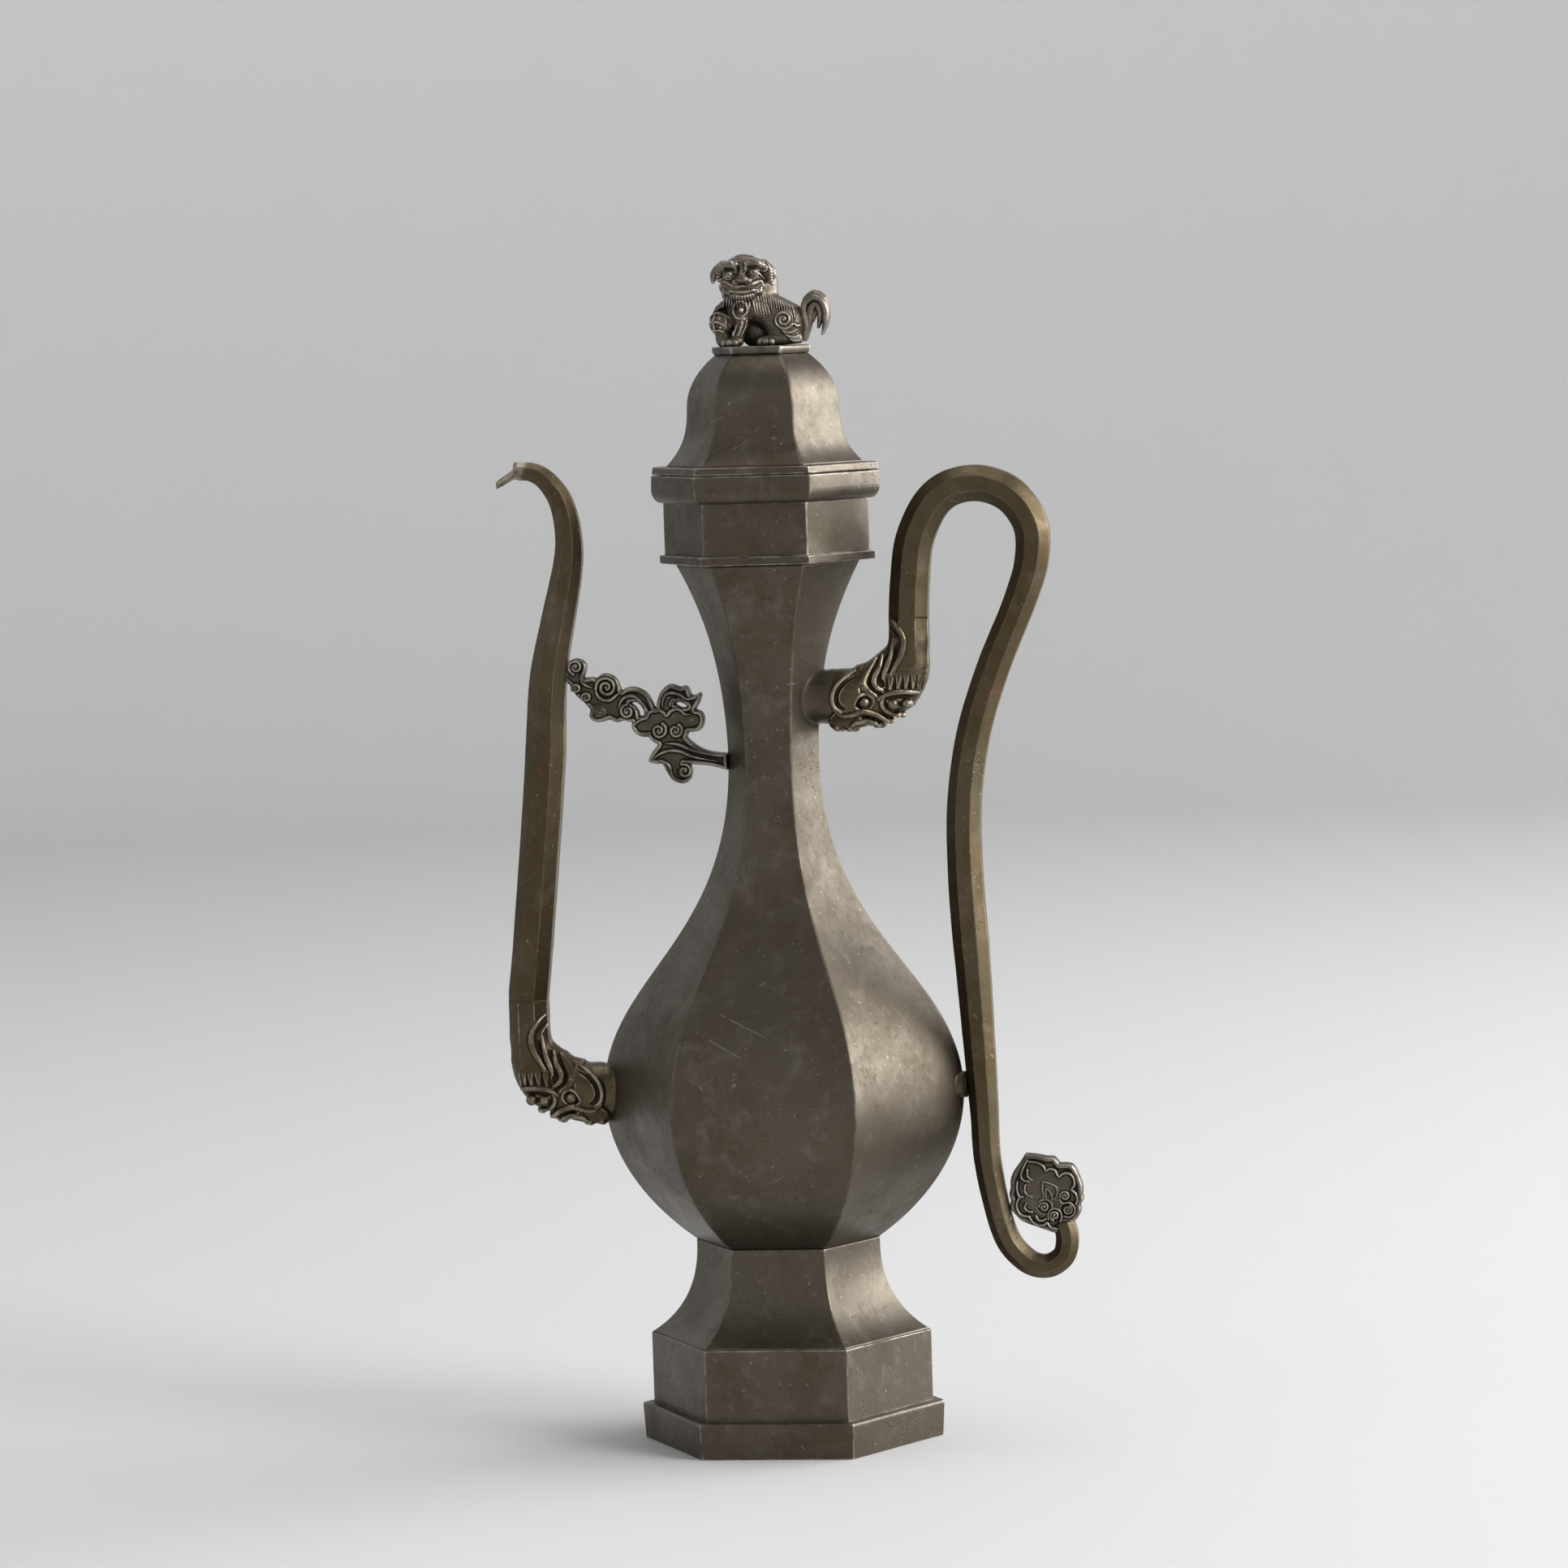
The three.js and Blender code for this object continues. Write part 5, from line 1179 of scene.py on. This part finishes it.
def lion_face(clay):
    """Brows, locks over the forehead, wrinkles, the wide mouth with its lips, and the chin."""
    graver = Graver(clay, 0.25)
    ridge, groove = graver.ridge, graver.groove
    for x, z, s in ((-10.2, 27.7, 1), (-0.6, 28.4, -1)):
        ridge([(x + 3.1 * s, z + 0.4, 0.5), (x + 2.2 * s, z + 3, 1), (x - 0.6 * s, z + 3.7, 1.25),
               (x - 2.9 * s, z + 2.7, 1.1), (x - 4 * s, z + 0.8, 0.6)], 0.5, 0.5)
    for x, z, r in ((-2.6, 31.7, 0.8), (-1, 32.5, 1), (1, 32.1, 1), (2.6, 30.8, 0.9),
                    (-7.6, 31.4, 0.8), (-9.4, 31.9, 1), (-11.5, 31.2, 1), (-12.9, 29.8, 0.85)):
        ridge([(x - 0.5, z - 0.2, r), (x + 0.5, z + 0.1, r)], 0.6, 0.3)
    for z in (28.5, 29.6):
        groove([(-6.4, z + 0.4, 0.2), (-5.1, z, 0.4), (-3.8, z + 0.4, 0.2)])
    groove([(-13.4, 29.8, 0.25), (-15.2, 28, 0.5), (-16.3, 25.8, 0.25)])
    groove([(2.9, 29.8, 0.3), (4.5, 28.4, 0.55), (5, 26, 0.3)])
    groove([(-13.2, 23.2, 0.3), (-11.4, 22.7, 0.6), (-9.2, 22.3, 0.65), (-5, 22, 0.6),
            (-1.4, 22.4, 0.65), (0.6, 22.8, 0.5), (2, 23.1, 0.3)])
    ridge([(-13.7, 23.4, 0.4), (-13.2, 25, 0.75), (-11.2, 24.8, 0.95), (-9.2, 23.6, 0.85),
           (-7, 23, 0.7), (-5, 23.2, 0.55), (-3, 23.1, 0.7), (-1, 23.9, 0.85),
           (0.8, 24.7, 0.9), (2.2, 24.6, 0.6), (2.6, 23.5, 0.35)], 0.25)
    for x, z, s in ((-11.1, 21.6, 1), (0.7, 21.8, -1)):
        ridge([(x + 1.8 * s, z - 0.3, 0.5), (x, z - 0.4, 0.8), (x - 1.2 * s, z + 0.4, 0.55)], 0.25)
    ridge([(-9.3, 21.3, 0.45), (-5, 20.8, 0.55), (-1.1, 21.4, 0.45)], 0.25)
    groove([(-5, 24.5, 0.2), (-5, 23.6, 0.3)])


def lion_hair(clay):
    """Parted waves over the skull, a fan of a beard, and the mane's long locks."""
    canvas = Relief(clay)
    for k in range(6):
        drop = 1.35 * k
        canvas.stroke([[-4.2, 35.4 - drop * 0.5], [-7.2, 34.9 - drop * 0.8], [-9.4, 35.1 - drop],
                       [-12.4, 33.2 - drop], [-15, 31.2 - drop * 0.8]], 0.75, 0.62)
        canvas.stroke([[-3.6, 35.6 - drop * 0.5], [-0.6, 35.3 - drop * 0.7], [1.4, 34.6 - drop],
                       [4, 32.2 - drop], [5.8, 29.2 - drop * 0.8]], 0.75, 0.62)
    clay.emboss(canvas, lambda y: smooth_step((-y - 1) / 3) * (y > -8.9))
    fan = Relief(clay)
    for k in range(15):
        s = k / 14
        x = -12.6 + 14.6 * s
        fan.stroke([[x, 21 - 2 * math.sin(math.pi * s)], [x + s - 0.4, 17.8],
                    [x + 3 * (s - 0.4), 13.6 + 3 * abs(s - 0.5)]], 0.55, 0.62, 1)
    for k in range(13):
        x = 2.4 + 0.98 * k
        top = 20.2 - 0.44 * k
        low = max(top - 6 + 0.9 * (k % 3), 13.9 if 6 < x < 13.8 else 0)
        fan.stroke([[x - 0.6, top], [x, top - 0.4 * (top - low)], [x + 0.5, low]], 0.75, 0.5, 1)
    for k in range(6):
        fan.stroke([[-1.4 + 1.05 * k, 17.2 - 0.3 * k], [-0.9 + 1.05 * k, 13.8],
                    [-0.1 + 1.05 * k, 11.4 - 0.5 * (k % 2)]], 0.7, 0.5, 1)
    clay.emboss(fan, lambda y: smooth_step((np.abs(y) - 1.5) / 3))


def lion_relief(clay):
    """Curls on haunch and shoulder, hair of the leg, and the ribbons and studs of the ball."""
    canvas = Relief(clay)
    canvas.stroke(curl((10.2, 9.9), 3.8, 330, -1.9, 0.16), 1, 0.68)
    canvas.boss((10.2, 9.9), 0.8, 1)
    for line in ([[8.4, 6.9], [10.4, 5.2], [13, 5], [15.6, 6.2]],
                 [[10.4, 4.5], [12.4, 3.2], [14.6, 3], [16.2, 3.9]],
                 [[12.2, 2.5], [13.8, 1.6], [15.8, 1.7]], [[14, 8.6], [15.2, 7.4], [16.8, 7.8]]):
        canvas.stroke(line, 1, 0.8, 2)
    canvas.stroke([[-5, 10.4], [-8.2, 11.2], [-9.4, 13.8], [-8.2, 16.4], [-5.6, 17],
                   [-3.5, 15.2], [-3.9, 12.6], [-5.6, 11.2], [-5.8, 8.4], [-7.4, 4.4]], 1.1, 0.75)
    canvas.boss((-6.2, 13.9), 1.35, 1.6)
    canvas.stroke([[-4, 10.6], [-4.4, 7.8], [-6, 4.6], [-6.4, 3.2]], 0.7, 0.45, 2)
    canvas.stroke([[-7.8, 9.6], [-8.6, 6.6], [-9.6, 3.6]], 0.7, 0.45, 2)
    for line in ([[-19.2, 11.2], [-16.6, 13.2], [-12.8, 12.4], [-10.2, 10.2]],
                 [[-19.4, 7.6], [-16.6, 9.6], [-13.6, 8.6], [-10.6, 5.8]],
                 [[-18.4, 5], [-15.8, 6.4], [-13, 4.9], [-12, 3.4]],
                 [[-16.6, 12.8], [-17.6, 9.6], [-16.6, 5.8]],
                 [[-12.6, 12], [-12.2, 8.8], [-13.2, 5.6]]):
        canvas.stroke(line, 0.75, 0.55, 2)
    for centre in ((-14.9, 11), (-18.4, 9.6), (-14.6, 7.4), (-10.6, 8.2), (-17.4, 6.4)):
        canvas.boss(centre, 0.75, 0.9)
    clay.emboss(canvas, lambda y: smooth_step((np.abs(y) - 1.5) / 2.7))


def lion_tail(clay):
    """Flame-shaped tail of six outer and three inner locks."""
    for y, lift, r in ((-3.6, -1, 1.2), (-2.1, 0, 1.35), (-0.6, 0.5, 1.4), (0.9, 0.5, 1.4),
                       (2.4, 0, 1.35), (3.8, -1, 1.2)):
        clay.limb([(17, y * 0.5, 2.6, 0.9), (18, y * 0.8, 7, r), (17.3, y, 12.4, r),
                   (18.2, y, 16.8 + lift * 0.7, r), (21.6, y, 19 + lift, r),
                   (24.8, y, 17 + lift, r), (25.9, y, 12.4, r), (25.5, y * 0.8, 8.2, r * 0.85),
                   (24.2, y * 0.4, 3.8, 0.45)], 0.05)
    for y in (-2.6, 0, 2.6):
        clay.limb([(18.6, y * 0.6, 5.4, 1), (19.4, y, 9.4, 1.3), (20, y, 13.4, 1.5),
                   (21.9, y, 15.4, 1.5), (23.4, y, 13.2, 1.4), (23.4, y * 0.8, 9.4, 1),
                   (22.6, y * 0.5, 6.4, 0.5)], 0.05)
    clay.limb([(20.6, -1.4, 9, 0.8), (21.4, -1.6, 12.4, 1.3), (21.8, -1.4, 13.6, 1.2)], 0.05)
    clay.egg((17.4, 0, 7.2), (2.2, 3.6, 6), 0.6)


def lion():
    """Seated with its head turned to the front; mm from the middle of the plate's top."""
    clay = Clay([-21, -14.6, -0.4], [27.5, 12, 36.6], LION_STEP)
    for model in (lion_body, lion_head, lion_face, lion_hair, lion_relief, lion_tail):
        model(clay)
    clay.trim(-clay.grid()[2])
    v, f = clay.skin()
    v = v + noise(v, 0.9, 51)[:, None] * 0.04
    add_piece("lion_cast", v + [0, 0, LION_Z - 0.35], f, LION_METAL, "lid",
              ["guardian_lion"], 1.0, 2)


# Floor, light and camera
def studio_paper():
    """Matt grey paper, darker on the floor and painted paler up the wall: a painted light gradient.
    """
    n = Nodes("studio_paper")
    # Painted light: the paper's colour grows paler with height, standing in for a wall lit brighter
    # above.
    n.set(n.shader["Base Color"],
          n.mix(n.ramp(n.axes()["Z"], 0.0, 2.4), (0.6, 0.6, 0.6), (0.84, 0.84, 0.84)))
    n.set(n.shader["Roughness"], 0.9)
    n.set(n.shader["Specular IOR Level"], 0.1)
    return n.material


def studio():
    """A paper sweep in metres: flat floor that curves up into a wall all round."""
    flat, bend, top, n = 2.9, 1.3, 5.0, 72
    rows = [[r, 0.0] for r in (0.02, 0.4, 1.0, 2.0, flat)]
    rows += [[flat + bend * math.sin(a), bend - bend * math.cos(a)]
             for a in np.linspace(0.1, math.pi / 2, 14)]
    rows += [[flat + bend, top / 2], [flat + bend, top]]
    turn = np.arange(n) * 2 * math.pi / n
    points = np.array([[r * math.cos(t), r * math.sin(t), z] for r, z in rows for t in turn])
    faces = ring_faces(len(rows), n)[:, ::-1].tolist() + [list(range(n))]
    new_object("studio", points, faces, studio_paper())


def lamp(name, place, target, size, power):
    data = bpy.data.lights.new(name, "AREA")
    data.shape = "RECTANGLE"
    data.size, data.size_y = size
    data.energy = power
    light = bpy.data.objects.new(name, data)
    light.location = place
    light.rotation_mode = "QUATERNION"
    light.rotation_quaternion = (Vector(target) - Vector(place)).to_track_quat("-Z", "Y")
    scene.collection.objects.link(light)


def daylight():
    world = bpy.data.worlds.new("world")
    world.use_nodes = True
    background = world.node_tree.nodes["Background"].inputs
    background["Color"].default_value = (0.92, 0.93, 0.95, 1)
    background["Strength"].default_value = 0.18
    scene.world = world


def camera():
    """The photograph's view: from just right of the front, a little above the middle."""
    place = Vector((0.318 + AXIS * MM, -2.39, 0.4426))
    azimuth, elevation, roll = math.radians(7.49), math.radians(4.44), math.radians(1.76)
    back = Vector((math.sin(azimuth) * math.cos(elevation),
                   -math.cos(azimuth) * math.cos(elevation), math.sin(elevation)))
    right = (-back).cross(Vector((0, 0, 1))).normalized()
    up = right.cross(-back)
    side = right * math.cos(roll) - up * math.sin(roll)
    top = right * math.sin(roll) + up * math.cos(roll)
    data = bpy.data.cameras.new("camera")
    data.lens = 143.3
    data.clip_end = 50
    cam = bpy.data.objects.new("camera", data)
    cam.matrix_world = Matrix.Translation(place) @ Matrix(
        [[side[i], top[i], back[i]] for i in range(3)]).to_4x4()
    scene.collection.objects.link(cam)
    scene.camera = cam


# The scene
sheets()
mouldings()
plates()
spout()
handle()
collars()
dragons()
strut()
ruyi()
lion()

studio()
lamp("key", (2.3, -1.1, 1.6), (0, 0, 0.25), (1.2, 1.6), 56)
lamp("edge", (2.6, 1.0, 0.95), (0, 0, 0.3), (3.0, 1.75), 122)
lamp("fill", (-2.4, -1.4, 1.5), (0, 0, 0.25), (1.6, 1.6), 4)
lamp("top", (0.2, 0.4, 3.0), (0, 0, 0.2), (2.2, 2.2), 30)
daylight()
camera()
scene.view_settings.view_transform = "Standard"
